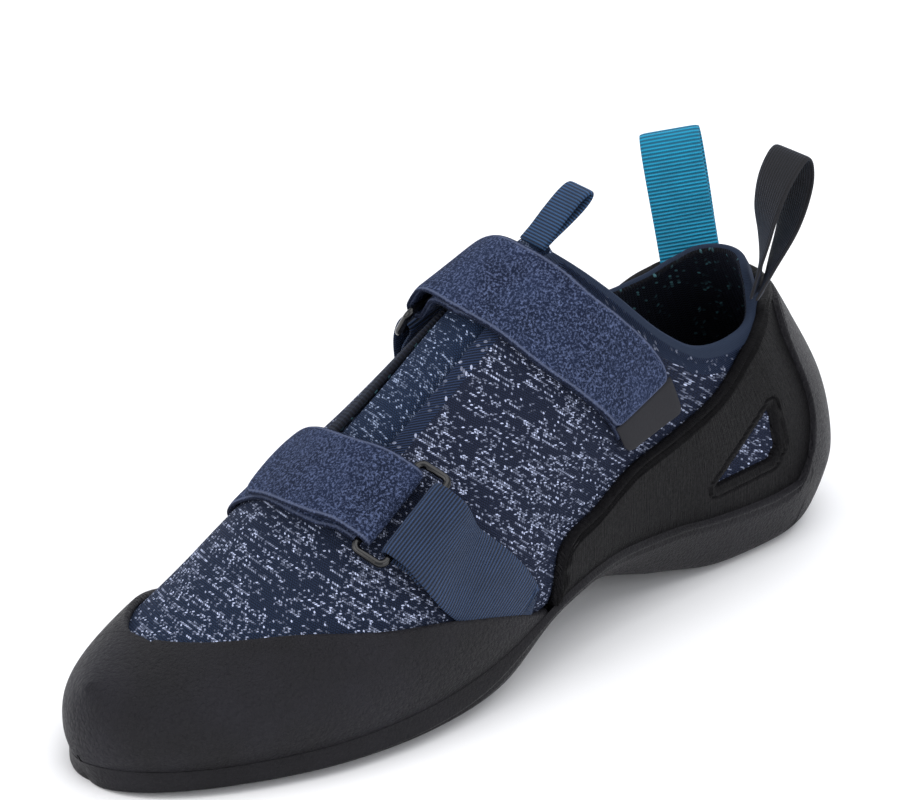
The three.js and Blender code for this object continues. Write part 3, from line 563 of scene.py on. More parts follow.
# %% Rubber
def rubber(name, colour, worn, grain, depth, roughness, specular, ridges=0.0):
    """Pebbles of a size in millimetres set the bump and the roughness. Ridges are a noise
    stretched about 20 times across the piece."""
    material, shader, w = start(name, roughness, specular)
    place = place_of(w)
    grains = use(w, "rubber grain", Place=place, Size=grain)
    patch = w.ramp(grains["Cloud"], 0.35, 0.7)
    w.put(shader.inputs["Base Color"], w.mix(patch, shade(*colour), shade(*worn)))
    uneven = w.ramp(grains["Grain"], 0.2, 0.9, roughness - 0.08, roughness + 0.12)
    w.put(shader.inputs["Roughness"], uneven)
    height = grains["Grain"]
    if ridges:
        x, y, _ = w.split(lay_of(w))
        streak = w.noise(w.join(w.math("MULTIPLY", x, 2.2), w.math("MULTIPLY", y, 0.10)), 1.0, 3.0, 0.7)
        height = w.math("ADD", w.math("MULTIPLY", height, 0.3), w.math("MULTIPLY", streak, ridges))
    bump(w, shader, height, depth)
    return material


TOE_RUBBER = rubber("toe rubber", (20, 19, 23), (29, 28, 35), 1.0, 1.4, 0.46, 0.24)
SIDE_RUBBER = rubber("side rubber", (10, 9, 12), (17, 16, 19), 0.9, 1.3, 0.46, 0.15, 1.8)
SOLE_RUBBER = rubber("sole rubber", (17, 16, 20), (24, 23, 28), 0.8, 0.6, 0.42, 0.2)


# %% [markdown]
# ### Velour, webbing and tapes
# The straps are faced with velour. Near its cut edge a pale line is painted, partly frayed fibres
# and partly a painted highlight, and the very edge is dark, partly its own darker tone and partly
# painted shade on its side. The webbing and the pull loops are woven with round ribs from side to
# side, except the black loop, whose ribs run along it. Hair particles would be truer to velour,
# but its nap is under half a millimetre, so two noises do.


# %% Velour, webbing and tapes
def velour():
    """Blue nap with a pale speckle, a pale line near the cut edge for frayed fibres and a painted
    highlight, and a dark edge that is the edge's darker tone and painted shade on its side.
    """
    material, shader, w = start("velour", 0.95, 0.1, 0.08, shade(130, 150, 200))
    nap = use(w, "nap", Place=place_of(w))
    edge = w.split(lay_of(w))[2]
    ground = w.mix(w.ramp(nap["Stroke"], 0.35, 0.65), shade(20, 27, 45), shade(30, 39, 62))
    speckled = w.mix(nap["Tuft"], ground, shade(88, 100, 134))
    # The pale line stands for frayed fibres and is also a painted highlight along the strap's edge.
    fray_and_highlight = w.math("MULTIPLY", w.ramp(edge, 0.35, 0.6), w.ramp(edge, 0.8, 1.2, 0.7, 0.0))
    with_fray_highlight = w.mix(fray_and_highlight, speckled, shade(92, 100, 124))
    # The dark edge is the strap's own darker edge and painted shade on its side.
    dark_edge_and_shade = w.ramp(edge, 0.15, 0.45, 0.85, 0.0)
    w.put(shader.inputs["Base Color"], w.mix(dark_edge_and_shade, with_fray_highlight, shade(20, 24, 38)))
    bump(w, shader, w.math("ADD", nap["Tuft"], nap["Fibre"]), 0.22)
    return material


def tape(name, ground, deep, pitch, thread, depth, lengthwise=False, gloss=0.7):
    """Woven tape: the colour goes from deep between ribs to the ground on their crowns."""
    material, shader, w = start(name, gloss, 0.3, 0.12, shade(150, 170, 210))
    lay = lay_of(w)
    x, y, edge = w.split(lay)
    ribs = use(w, "ribs", Lay=w.join(y, x) if lengthwise else lay, Pitch=pitch, Thread=thread)
    soft = w.noise(place_of(w), 160.0, 2.0)
    shadowed = shade(*[0.9 * c for c in ground])
    crown = w.mix(w.ramp(soft, 0.3, 0.7), shadowed, shade(*ground))
    colour = w.mix(ribs["Rib"], shade(*deep), crown)
    w.put(shader.inputs["Base Color"], colour)
    bump(w, shader, w.math("ADD", ribs["Rib"], w.math("MULTIPLY", ribs["Thread"], 0.25)), depth)
    return material


WEB_PITCH, TEAL_PITCH, NAVY_PITCH = 0.85, 1.05, 0.95
VELOUR = velour()
WEBBING = tape("webbing", (44, 66, 102), (2, 4, 10), WEB_PITCH, 0.55, 0.4)
TEAL = tape("teal tape", (6, 150, 190), (0, 78, 104), TEAL_PITCH, 0.6, 0.25, gloss=0.55)
NAVY = tape("navy tape", (42, 78, 118), (5, 13, 30), NAVY_PITCH, 0.6, 0.25)
BLACK = tape("black tape", (24, 23, 26), (7, 7, 9), 0.9, 0.7, 0.16, lengthwise=True)


# %% [markdown]
# ### Plain finishes
# The rings are coated steel wire, the strap's end is smooth, and the insole wears a plain cloth.
# Each is one colour, with a faint noise so that it isn't dead flat.


# %% Plain finishes
def plain(name, colour, roughness, grain, depth, specular=0.5):
    """One colour, whose tone and height follow a noise of a grain in millimetres."""
    material, shader, w = start(name, roughness, specular)
    speck = w.noise(place_of(w), 1 / (grain * MM), 3.0, 0.6)
    shadowed = shade(*[0.88 * c for c in colour])
    w.put(shader.inputs["Base Color"], w.mix(w.ramp(speck, 0.3, 0.7), shadowed, shade(*colour)))
    bump(w, shader, speck, depth)
    return material


WIRE = plain("coated wire", (7, 7, 9), 0.16, 3.0, 0.02)
TAB = plain("smooth strap end", (30, 30, 35), 0.6, 0.8, 0.05, specular=0.2)
BOARD = plain("insole cloth", (16, 16, 19), 0.9, 0.7, 0.2)
print("materials:", len(bpy.data.materials))

# %% [markdown]
# ## Meshes from grids
# A piece is a grid of rings. Each ring is a closed loop of points, and rings follow each other
# along the piece. Four neighbours make a face. Where rings shrink to a line or meet another
# row of rings, the doubled points are merged, so the surface closes by itself. An end that
# another piece hides gets one flat face.


# %% From arrays to a piece
def ring_faces(rings, points, closed=False, skip=None):
    """Quads of a grid of rings, as indices. skip marks the faces to leave out."""
    index = np.arange(rings * points).reshape(rings, points)
    if closed:
        index = np.vstack([index, index[:1]])
    index = np.hstack([index, index[:, :1]])
    faces = np.stack([index[:-1, :-1], index[1:, :-1], index[1:, 1:], index[:-1, 1:]], -1)
    keep = np.ones(faces.shape[:2], bool) if skip is None else ~skip
    return faces, keep


def make_piece(name, points, lay, materials, picks=None, closed=False, skip=None, rim=None):
    """points, lay and rim: arrays (rings, points of a ring, 3). picks: a material number per
    face. rim is a second lay for bands that follow the edge."""
    faces, keep = ring_faces(*points.shape[:2], closed, skip)
    quads = faces[keep]
    mesh = bpy.data.meshes.new(name)
    flat = (points.reshape(-1, 3) + SHIFT) * MM
    mesh.vertices.add(len(flat))
    mesh.vertices.foreach_set("co", flat.astype(np.float32).ravel())
    mesh.loops.add(quads.size)
    mesh.loops.foreach_set("vertex_index", quads.astype(np.int32).ravel())
    mesh.polygons.add(len(quads))
    mesh.polygons.foreach_set("loop_start", np.arange(0, quads.size, 4, dtype=np.int32))
    for material in materials:
        mesh.materials.append(material)
    if picks is not None:
        mesh.polygons.foreach_set("material_index", picks[keep].astype(np.int32))
    mesh.update(calc_edges=True)
    for label, values in [("lay", lay), ("rim", rim)]:
        if values is not None:
            attribute = mesh.attributes.new(label, "FLOAT_VECTOR", "POINT")
            attribute.data.foreach_set("vector", values.reshape(-1, 3).astype(np.float32).ravel())
    close_up(mesh)
    mesh.polygons.foreach_set("use_smooth", np.ones(len(mesh.polygons), bool))
    piece = bpy.data.objects.new(name, mesh)
    bpy.context.scene.collection.objects.link(piece)
    return piece


SAME_POINT = 0.001 * MM
SEAM_GAP = 0.01 * MM


def close_up(mesh):
    """Merges doubled points, then both rims of a seam, drops faces without area, fills what is
    still open, as at a hidden end, and turns all faces outwards: the shell's signed volume,
    which is the sum of its faces' cones from the origin, is then positive."""
    work = bmesh.new()
    work.from_mesh(mesh)
    bmesh.ops.remove_doubles(work, verts=work.verts, dist=SAME_POINT)
    rims = [v for v in work.verts if v.is_boundary]
    bmesh.ops.remove_doubles(work, verts=rims, dist=SEAM_GAP)
    bmesh.ops.dissolve_degenerate(work, edges=work.edges, dist=SAME_POINT / 2)
    bmesh.ops.holes_fill(work, edges=[e for e in work.edges if e.is_boundary], sides=0)
    bmesh.ops.recalc_face_normals(work, faces=work.faces)
    if work.calc_volume(signed=True) < 0:
        bmesh.ops.reverse_faces(work, faces=work.faces)
    open_edges = sum(1 for e in work.edges if len(e.link_faces) != 2)
    work.to_mesh(mesh)
    work.free()
    print(f"  {mesh.name}: {len(mesh.polygons)} faces, {open_edges} edges not closed")


def dress(piece, slot, *nodes):
    """The piece rides on the shoe and stands for its solids, which it hides. slot is not used."""
    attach(piece, "root")
    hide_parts(*nodes)
    return piece


# %% [markdown]
# ## Lines on the side of the shoe
# Rubber, collar and throat end along lines. A line is a smooth curve through a few points of
# the side view, in shares of the last's length and of a height. To find where a column of the
# last crosses it, the column is sampled from the sole upwards: the crossing lies between the
# last sample inside the line and the first outside, in proportion to their distances.


# %% Smooth lines
def curve(points, pieces):
    """A Catmull-Rom curve: through each point, in the direction of its neighbours' chord."""
    p = np.asarray(points, float)
    last = len(p) - 1
    t = np.linspace(0, last, pieces + 1)
    i = np.minimum(t.astype(int), last - 1)
    f = (t - i)[:, None]
    before, after = p[np.maximum(i - 1, 0)], p[np.minimum(i + 2, last)]
    a, b = p[i], p[i + 1]
    v0, v1 = (b - before) / 2, (after - a) / 2
    return (2 * a - 2 * b + v0 + v1) * f**3 + (-3 * a + 3 * b - 2 * v0 - v1) * f**2 + v0 * f + a


RAND_HEIGHT = 35
COLLAR_HEIGHT = 71.5
SOLE_EDGE = 5.6
ROOF, FLOOR, BEYOND = 165, -20, 64


def side_line(points, height, pieces):
    """A curve through shares of the last's length and of a height, in millimetres."""
    return curve(points, pieces) * [LAST_LENGTH, height]


rand_line = side_line([
    [1.12, 0.96], [0.90, 0.975], [0.80, 1.01], [0.71, 0.975], [0.65, 0.90], [0.585, 0.76], [0.50, 0.50],
], RAND_HEIGHT, 60)
cup_line = side_line([
    [0.524, 0.06], [0.520, 0.25], [0.512, 0.455], [0.488, 0.535], [0.445, 0.57], [0.382, 0.650],
    [0.310, 0.690], [0.238, 0.765], [0.188, 0.895], [0.158, 0.97], [0.128, 1.015], [0.02, 1.02],
], CUP_HEIGHT, 110)
sole_front = side_line([
    [1.12, 1.15], [0.90, 1.25], [0.75, 1.5], [0.64, 2.1], [0.56, 3.1], [0.49, 4.1], [0.41, 4.4],
    [0.31, 4.1], [0.24, 3.6], [0.15, 3.35], [0.105, 3.6],
], SOLE_EDGE, 80)
sole_back = side_line([
    [0.088, 0.36], [0.081, 0.50], [0.088, 0.64], [0.105, 0.79], [0.112, 0.90], [0.095, 0.985],
    [0.0, 1.0],
], CUP_HEIGHT, 40)
sole_line = np.vstack([sole_front, sole_back])
collar_line = side_line([
    [0.02, 1.24], [0.125, 1.20], [0.148, 1.12], [0.166, 1.035], [0.200, 1.00], [0.235, 1.00],
    [0.268, 1.035], [0.300, 1.11], [0.330, 1.20], [0.372, 1.355], [0.42, 1.53], [0.50, 1.80],
], COLLAR_HEIGHT, 80)
window_corners = [[0.154, 0.62], [0.141, 0.45], [0.152, 0.402], [0.240, 0.392]]
window = np.array(window_corners) * [LAST_LENGTH, CUP_HEIGHT]
print("lines:", len(rand_line), len(cup_line), len(sole_line), len(collar_line), "points")


# %% Distances to a line and crossings
def to_line(points, line):
    """The shortest distance in the side view from points (..., 3) to a line's segments."""
    p = points[..., None, [0, 2]]
    a, b = line[:-1], line[1:]
    along = b - a
    t = np.clip(((p - a) * along).sum(-1) / (along**2).sum(-1), 0, 1)
    return np.linalg.norm(p - a - t[..., None] * along, axis=-1).min(-1)


def within(points, outline):
    """True inside a closed outline of the side view, by counting crossings to its right."""
    x, z = points[..., None, 0], points[..., None, 2]
    a, b = outline, np.roll(outline, -1, axis=0)
    spans = (a[:, 1] > z) != (b[:, 1] > z)
    rise = np.where(b[:, 1] == a[:, 1], 1, b[:, 1] - a[:, 1])
    cross = a[:, 0] + (z - a[:, 1]) * (b[:, 0] - a[:, 0]) / rise
    return (spans & (x < cross)).sum(-1) % 2 == 1


def below(line):
    """Signed distance to a line drawn from the toe back over the heel, positive below it."""
    outline = np.vstack([line, [[-BEYOND, line[-1, 1]], [-BEYOND, FLOOR], [line[0, 0], FLOOR]]])
    return lambda p: to_line(p, line) * np.where(within(p, outline), 1, -1)


def under_collar(p):
    """Signed distance to the collar's edge, positive below it."""
    outline = np.vstack([collar_line, [[collar_line[-1, 0], ROOF], [collar_line[0, 0], ROOF]]])
    return to_line(p, collar_line) * np.where(within(p, outline), -1, 1)


SAMPLES = 150


def crossing(u, side, offset, signed, start_rise=-80.0):
    """The rise at which each column leaves a region, in radians, going up from the sole."""
    rise = np.radians(np.linspace(start_rise, 90, SAMPLES))[None, :]
    value = signed(skin(u[:, None], rise, side, offset))
    out = value < 0
    first = np.where(out.any(1), out.argmax(1), SAMPLES)
    k = np.clip(first, 1, SAMPLES - 1)[:, None]
    a = np.abs(np.take_along_axis(value, k - 1, 1))[:, 0]
    b = np.abs(np.take_along_axis(value, k, 1))[:, 0]
    rise = np.broadcast_to(rise, value.shape)
    low = np.take_along_axis(rise, k - 1, 1)[:, 0]
    high = np.take_along_axis(rise, k, 1)[:, 0]
    found = low + (high - low) * a / np.maximum(a + b, 1e-9)
    return np.where(first >= SAMPLES, np.pi / 2, found)


# %% Columns measured in millimetres
def column_table(u, side, low, high, offset, sole=False, dense=360):
    """Rises crowded towards the low end, and the length of the column up to each."""
    t = np.linspace(0, 1, dense) ** 2.5
    rise = low[:, None] + (high - low)[:, None] * t
    points = skin(u[:, None], rise, side, offset, sole)
    steps = np.linalg.norm(np.diff(points, axis=1), axis=-1)
    return rise, np.concatenate([np.zeros((len(u), 1)), np.cumsum(steps, axis=1)], axis=1)


def rise_at(table, distance):
    """The rise at a distance in millimetres down from the column's high end."""
    rise, length = table
    target = length[:, -1:] - distance
    k = np.clip((length[:, None, :] <= target[:, :, None]).sum(-1), 1, rise.shape[1] - 1)
    l0, l1 = np.take_along_axis(length, k - 1, 1), np.take_along_axis(length, k, 1)
    r0, r1 = np.take_along_axis(rise, k - 1, 1), np.take_along_axis(rise, k, 1)
    return r0 + (r1 - r0) * np.clip((target - l0) / np.maximum(l1 - l0, 1e-9), 0, 1)


def spread(total, near, count):
    """Distances down each column: some fixed ones near its high end, then even steps."""
    rest = np.linspace(0, 1, count + 1)[1:]
    fixed = np.broadcast_to(near, (len(total), len(near)))
    room = np.minimum(near[-1], total)[:, None]
    return np.hstack([np.minimum(fixed, room), room + (total[:, None] - room) * rest])


def rounded(distance, inner, outer):
    """Both faces of a wall near its edge: they meet in a half circle as wide as the wall."""
    radius, middle = (outer - inner) / 2, (outer + inner) / 2
    reach = np.sqrt(np.maximum(radius**2 - np.maximum(radius - distance, 0) ** 2, 0))
    return middle - reach, middle + reach


def bump_of(distance, centre, half_width):
    """A round ridge across a distance: a cosine's top, level at both feet."""
    t = np.clip(np.abs(distance - centre) / half_width, 0, 1)
    return 0.5 + 0.5 * np.cos(np.pi * t)


def along_foot(u, side):
    """Millimetres along the middle of a side, from the heel."""
    fine = np.linspace(0, 3, 600)
    path = skin(fine, np.full(600, np.radians(25)), side, 2.0)
    length = np.concatenate([[0], np.cumsum(np.linalg.norm(np.diff(path, axis=0), axis=-1))])
    return np.interp(u, fine, length)


def girth_from_top(u, side, rise, offset):
    """Millimetres round the foot from the crest of the instep down to a rise."""
    low, high = np.full(len(u), np.radians(-85)), np.full(len(u), np.pi / 2)
    table_rise, length = column_table(u, side, low, high, offset)
    k = np.clip((table_rise[:, None, :] <= rise[:, :, None]).sum(-1), 1, table_rise.shape[1] - 1)
    r0, r1 = np.take_along_axis(table_rise, k - 1, 1), np.take_along_axis(table_rise, k, 1)
    l0, l1 = np.take_along_axis(length, k - 1, 1), np.take_along_axis(length, k, 1)
    return length[:, -1:] - l0 - (l1 - l0) * np.clip((rise - r0) / np.maximum(r1 - r0, 1e-9), 0, 1)


EDGE_STEPS = np.array([0, 0.03, 0.1, 0.22, 0.4, 0.65, 0.95, 1.3, 1.7, 2.2, 2.8, 3.5, 4.3, 5.2])
outer_length = along_foot(np.array([3.0]), 1)
print("the outer side is", round(float(outer_length[0]), 1), "mm long at its middle")

# %% [markdown]
# ## The knitted upper
# On the real shoe the upper is one knitted sock, 2 mm thick. Cloth could be draped over the last
# by a simulation, but a sock under tension simply takes the last's shape, so it is the last's
# own surface moved out. Its wall is a ring of rings: each ring runs down the outside, round
# under the rubber and up the inside, and the rings go from the heel along the outer side to the
# toe and back along the inner side. Ahead of the throat both halves share their top edge. The
# faces between the two walls are left out there, so the instep is one skin.

# %% The throat over the instep
KNIT_WALL = 2.0
COLLAR_ROLL = 1.0
COLLAR_BAND = 5.0
THROAT_WIDTH = 19
THROAT_SHIFT = -3.5
THROAT_FRONT = 0.69 * LAST_LENGTH
THROAT_END = 9
THROAT_BACK = 0.37 * LAST_LENGTH


def crest_y(x):
    """How far sideways the crest of the instep lies."""
    return BALL_HALF_WIDTH * (section("centre", x) - section("ridge", x))


def throat_open(x):
    """Share of the throat's width: full, then closing in a quarter round to its front end."""
    t = np.clip((x - (THROAT_FRONT - THROAT_END)) / THROAT_END, 0, 1)
    return np.sqrt(np.maximum(1 - t**2, 0))


def clear_of_throat(side):
    """Signed distance to the throat's edge on a side, positive outside the throat."""
    def signed(p):
        """How far outside the edge a point lies, and a plain far value behind the throat."""
        edge = THROAT_SHIFT + side * THROAT_WIDTH / 2
        crest = crest_y(p[..., 0])
        clear = (p[..., 1] - (crest + (edge - crest) * throat_open(p[..., 0]))) * side
        return np.where(p[..., 0] >= THROAT_BACK, clear, 9.0)
    return signed


def upper_edge(u, side):
    """The rise of the sock's top edge, and a mark where both halves join on the crest."""
    collar = crossing(u, side, KNIT_WALL, under_collar)
    throat = crossing(u, side, KNIT_WALL, clear_of_throat(side), 20.0)
    joined = station(u) >= THROAT_FRONT
    high = np.where(joined, np.pi / 2, np.minimum(collar, throat))
    return high, joined, (collar <= throat) & ~joined


throat_share = throat_open(np.array([THROAT_BACK, THROAT_FRONT - 2]))
print("the throat is open by", [round(float(v), 2) for v in throat_share], "of its width")

# %% [markdown]
# A knitted edge isn't cut: it is finished with a rim, and beside the throat with a band. So
# every face near an edge gets the number of its material by how far in it lies. The courses of
# the knit don't follow the foot either. They lie in planes that lean back over the instep, and
# so the distance along the normal of those planes is what the stitches count their rows by.

# %% One half of the sock
U_STEPS = 230
OUTSIDE_ROWS, INSIDE_ROWS = 84, 26
LOWEST_RISE = np.radians(-66)
FAR_IN = 99
ROLL_EASE = 1.6
RIM_WIDTH, BAND_TO, SEAM_WIDTH = 4.2, 9.5, 4.4
COURSE_NORMAL = np.array([-0.63, 0.08, 0.77])
# The last material, the roll, is painted shade on the throat's inner edge.
SOCK_MATERIALS = [KNIT, RIM, BAND, LINING, SHADED_ROLL]
KNIT_FACE, RIM_FACE, BAND_FACE, LINING_FACE, SHADED_ROLL_FACE = range(5)


def collar_roll(at_collar, down):
    """The collar's band stands out by its roll, and eases back to the wall below it."""
    return COLLAR_ROLL * at_collar[:, None] * smooth((COLLAR_BAND + 1 - down) / ROLL_EASE)


def sock_zones(at_collar, joined, down, side):
    """A material number per face: by the distance from the collar, or from the throat."""
    by_collar = np.where(down < RIM_WIDTH, RIM_FACE, np.where(down < BAND_TO, BAND_FACE, KNIT_FACE))
    # On the inner side the faces beside the throat get the roll, whose dark colour is painted shade.
    beside_throat = BAND_FACE if side > 0 else SHADED_ROLL_FACE
    by_throat = np.where(joined[:, None] | (down > SEAM_WIDTH), KNIT_FACE, beside_throat)
    return np.where(at_collar[:, None], by_collar, by_throat)


def upper_half(side):
    """Columns down the outside and up the inside of the last, a wall apart, round at the edge."""
    u = np.linspace(0, 3, U_STEPS)
    high, joined, at_collar = upper_edge(u, side)
    table = column_table(u, side, np.full(U_STEPS, LOWEST_RISE), high, KNIT_WALL)
    total = table[1][:, -1]
    out_down = spread(total, EDGE_STEPS, OUTSIDE_ROWS)
    in_down = spread(total, EDGE_STEPS, INSIDE_ROWS)
    edge_out = np.where(joined[:, None], FAR_IN, out_down)
    edge_in = np.where(joined[:, None], FAR_IN, in_down)
    _, outer = rounded(edge_out, 0.0, KNIT_WALL + collar_roll(at_collar, out_down))
    inner, _ = rounded(edge_in, 0.0, KNIT_WALL + collar_roll(at_collar, in_down))
    rise_out, rise_in = rise_at(table, out_down), rise_at(table, in_down)
    outside = skin(u[:, None], rise_out, side, outer)
    inside = skin(u[:, None], rise_in, side, inner)
    along = np.broadcast_to(along_foot(u, side)[:, None], rise_out.shape)
    down = girth_from_top(u, side, rise_out, KNIT_WALL)
    lay_out = np.stack([outside @ COURSE_NORMAL, side * down, out_down], -1)
    rim_out = np.stack([along, side * down, out_down], -1)
    along_in = along[:, :1] + np.zeros_like(rise_in)
    lay_in = np.stack([along_in, side * in_down, in_down], -1)[:, ::-1]
    points = np.hstack([outside, inside[:, ::-1]])
    zone = np.full(points.shape[:2], LINING_FACE)
    outside_faces = out_down.shape[1] - 1
    zone[:, :outside_faces] = sock_zones(at_collar, joined, out_down, side)[:, :outside_faces]
    zone[:, -3:] = np.where(at_collar[:, None], RIM_FACE, LINING_FACE)
    return points, np.hstack([lay_out, lay_in]), zone, joined, np.hstack([rim_out, lay_in])


# %% Both halves as one piece
def round_trip(outer, inner):
    """The outer half's rings towards the toe, then the inner half's back to the heel."""
    return np.concatenate([outer, inner[::-1][1:-1]])


points, lay, zone, joined, rim = map(round_trip, upper_half(1), upper_half(-1))
skip = np.zeros(points.shape[:2], bool)
skip[:, -1] = joined & np.roll(joined, -1)
upper = make_piece("upper_knit", points, lay, SOCK_MATERIALS, zone, closed=True, skip=skip, rim=rim)
dress(upper, "knit", "upper")

# %% [markdown]
# ## Tongue
# The tongue is a knitted panel under the throat. The foot's instep pushes it up, so it swells a
# little between the throat's edges and lies under the sock beyond them. A plane could be bent
# to fit, but then it would cut into the sock. Here its columns run along the last at set
# distances across. For each of their points the girth is read off the section, by looking up
# where the section has that sideways place.

# %% Places across the last
TONGUE_THICKNESS = 1.6
TONGUE_MARGIN = 7
TONGUE_RISE = 3
TONGUE_SWELL = 1.7
TONGUE_COLUMNS, TONGUE_ROWS = 41, 130
GIRTH_STEPS = 400


def girth_of(u, y):
    """The girth on the upper face whose point lies y millimetres sideways, in proportion
    between the two steps round it."""
    girth = np.linspace(np.pi, 0, GIRTH_STEPS)
    reach = last_point(u[..., None], girth)[..., 1]
    k = np.clip((reach < y[..., None]).sum(-1), 1, GIRTH_STEPS - 1)
    y0 = np.take_along_axis(reach, k[..., None] - 1, -1)[..., 0]
    y1 = np.take_along_axis(reach, k[..., None], -1)[..., 0]
    return girth[k - 1] + (girth[k] - girth[k - 1]) * (y - y0) / np.maximum(y1 - y0, 1e-9)


def path_length(points):
    """Millimetres along each column of points, from its first."""
    steps = np.linalg.norm(np.diff(points, axis=0), axis=-1)
    return np.concatenate([np.zeros_like(steps[:1]), np.cumsum(steps, axis=0)])


def round_edge(distance, radius):
    """Share of a sheet's thickness near its edge: a quarter circle of that radius."""
    return np.sqrt(np.clip(1 - (1 - np.clip(distance / radius, 0, 1)) ** 2, 0, 1))


# %% Tongue
tongue_half = THROAT_WIDTH / 2 + TONGUE_MARGIN
across = THROAT_SHIFT + tongue_half * np.sin(np.linspace(-np.pi / 2, np.pi / 2, TONGUE_COLUMNS))
off_middle = np.abs(across - THROAT_SHIFT)


def tongue_starts():
    """Where each column begins: above the collar's line, by less towards both sides."""
    u = np.linspace(u_of(0.34 * LAST_LENGTH), u_of(0.46 * LAST_LENGTH), 160)
    u, y = np.meshgrid(u, across, indexing="ij")
    above_line = TONGUE_RISE - 6 * (off_middle / tongue_half) ** 2
    reached = under_collar(last_point(u, girth_of(u, y))) > -above_line
    return u[reached.argmax(0), 0]


starts = tongue_starts()
front = THROAT_FRONT + TONGUE_MARGIN - 4 * (off_middle / tongue_half) ** 2
u = starts + (u_of(front) - starts) * np.linspace(0, 1, TONGUE_ROWS)[:, None]
girth = girth_of(u, np.broadcast_to(across, u.shape))
on_last = last_point(u, girth)
room = THROAT_WIDTH / 2 * throat_open(on_last[..., 0])
swell = TONGUE_SWELL * smooth((room - off_middle) / 4)
run = path_length(on_last)
edge = np.minimum(np.minimum(run, run[-1] - run), tongue_half - off_middle)
half = TONGUE_THICKNESS / 2 * round_edge(edge, TONGUE_THICKNESS / 2)
middle = swell - GAP - TONGUE_THICKNESS / 2
normal = last_normal(u, girth)
over = on_last + normal * (middle + half)[..., None]
under = on_last + normal * (middle - half)[..., None]
lay_over = np.stack([run, across + 0 * run, edge], -1)
points = np.hstack([over, under[:, ::-1]])
lay = np.hstack([lay_over, lay_over[:, ::-1]])
dress(make_piece("tongue_knit", points, lay, [TONGUE_KNIT]), "tongue_knit", "tongue")

# %% [markdown]
# ## Insole
# The lasting board closes the sock from below, and a black cloth covers it. Only a sliver of it
# shows through the collar, so it is the last's own bed: the lowest part of each section, once
# moved up and once down, and drawn together along its edge.

# %% Insole
BOARD_TOP, BOARD_DEEP = 2.0, 2.6
BOARD_ROWS, BOARD_COLUMNS = 90, 31
BOARD_HALF_GIRTH = 44
turn = np.linspace(-np.pi / 2, np.pi / 2, BOARD_COLUMNS)
board_u = np.linspace(0.25, 2.85, BOARD_ROWS)[:, None]
bed = last_point(board_u, np.radians(-90 + BOARD_HALF_GIRTH * np.sin(turn))[None, :])
end_share = np.sqrt(np.clip(1 - np.linspace(-1, 1, BOARD_ROWS) ** 40, 0, 1))
lift = np.zeros(bed.shape)
lift[..., 2] = end_share[:, None] * np.cos(turn) ** 0.1
points = np.hstack([bed + lift * BOARD_TOP, (bed - lift * BOARD_DEEP)[:, ::-1]])
lay = np.zeros_like(points)
dress(make_piece("insole_cloth", points, lay, [BOARD]), "board", "insole")

# %% [markdown]
# ## Toe cap
# A sheet of rubber, 2 mm thick, is stretched and glued over the toe and ends in a rounded lip.
# It could be cut from the last by a knife shape, but the cut would leave a ragged row of faces.
# So each column of the last is measured from the lip downwards, and the grid's rows follow the
# lip. Where the cap covers the crest, both halves simply meet.

# %% Toe cap
RAND_WALL = 2.0
RUBBER_TOP = KNIT_WALL + GAP + RAND_WALL
CAP_BACK = 0.50 * LAST_LENGTH
TUCK = 1.2
CAP_TILT = 0.104


def below_rand(p):
    """Signed distance to the cap's line, which drops from the outer to the inner side."""
    sideways = p[..., 1] - 8
    outer = CAP_TILT * smooth((p[..., 0] / LAST_LENGTH - 0.72) / 0.15)
    inner = CAP_TILT * smooth((p[..., 0] / LAST_LENGTH - 0.58) / 0.15)
    inner = inner + 2.0 * CAP_TILT * bump_of(p[..., 0] / LAST_LENGTH, 0.75, 0.15)
    return below(rand_line)(p) + sideways * np.where(sideways > 0, outer, inner)


def toe_half(side):
    """Columns down the outside and up the inside, tucked in where the heel cup laps over."""
    u = np.linspace(u_of(CAP_BACK), 3, 190)
    high = crossing(u, side, RUBBER_TOP, below_rand)
    over_crest = high > np.pi / 2 - 1e-6
    low = np.minimum(np.full(len(u), np.radians(-80)), high - 0.02)
    table = column_table(u, side, low, high, RUBBER_TOP)
    down = spread(table[1][:, -1], EDGE_STEPS[:10], 52)
    down_in = spread(table[1][:, -1], EDGE_STEPS[:8], 8)
    rise_out, rise_in = rise_at(table, down), rise_at(table, down_in)
    inner_face = KNIT_WALL + 0.1
    under_cup = smooth(below(cup_line)(skin(u[:, None], rise_out, side, RUBBER_TOP)) / 0.6 + 0.5)
    _, outer = rounded(np.where(over_crest[:, None], FAR_IN, down), inner_face, RUBBER_TOP)
    inner, _ = rounded(np.where(over_crest[:, None], FAR_IN, down_in), inner_face, RUBBER_TOP)
    outside = skin(u[:, None], rise_out, side, outer - TUCK * under_cup)
    points = np.hstack([outside, skin(u[:, None], rise_in, side, inner)[:, ::-1]])
    along = along_foot(u, side)[:, None]
    lay_out = np.stack([along + 0 * down, down, down], -1)
    lay_in = np.stack([along + 0 * down_in, down_in, down_in], -1)
    return points, np.hstack([lay_out, lay_in[:, ::-1]]), over_crest


def join_halves(half):
    """Outer half towards the toe, then the inner half back, as one row of rings."""
    a, b = half(1), half(-1)
    return [np.concatenate([p, q[::-1][1:]]) for p, q in zip(a, b)]


points, lay, over_crest = join_halves(toe_half)
skip = np.zeros((len(points) - 1, points.shape[1]), bool)
skip[:, -1] = over_crest[1:] & over_crest[:-1]
dress(make_piece("toe_cap", points, lay, [TOE_RUBBER], skip=skip), "rubber", "toe_rand")

# %% [markdown]
# ## Heel cup
# The cup is moulded in one piece. A double bead with a groove beside it runs along its edge,
# and each side has a window with a bevelled frame, through which the knit shows. Sculpting
# would give the same, but a relief written as a height over the face stays even all the way
# round: every bead, groove and bevel is a smooth function of the distance to an edge. In the
# window the face dips under the knit.

# %% Relief of the heel cup
BEAD_HEIGHT = 1.3
CUP_FRONT = 0.522 * LAST_LENGTH
PAST_BEADS = 9


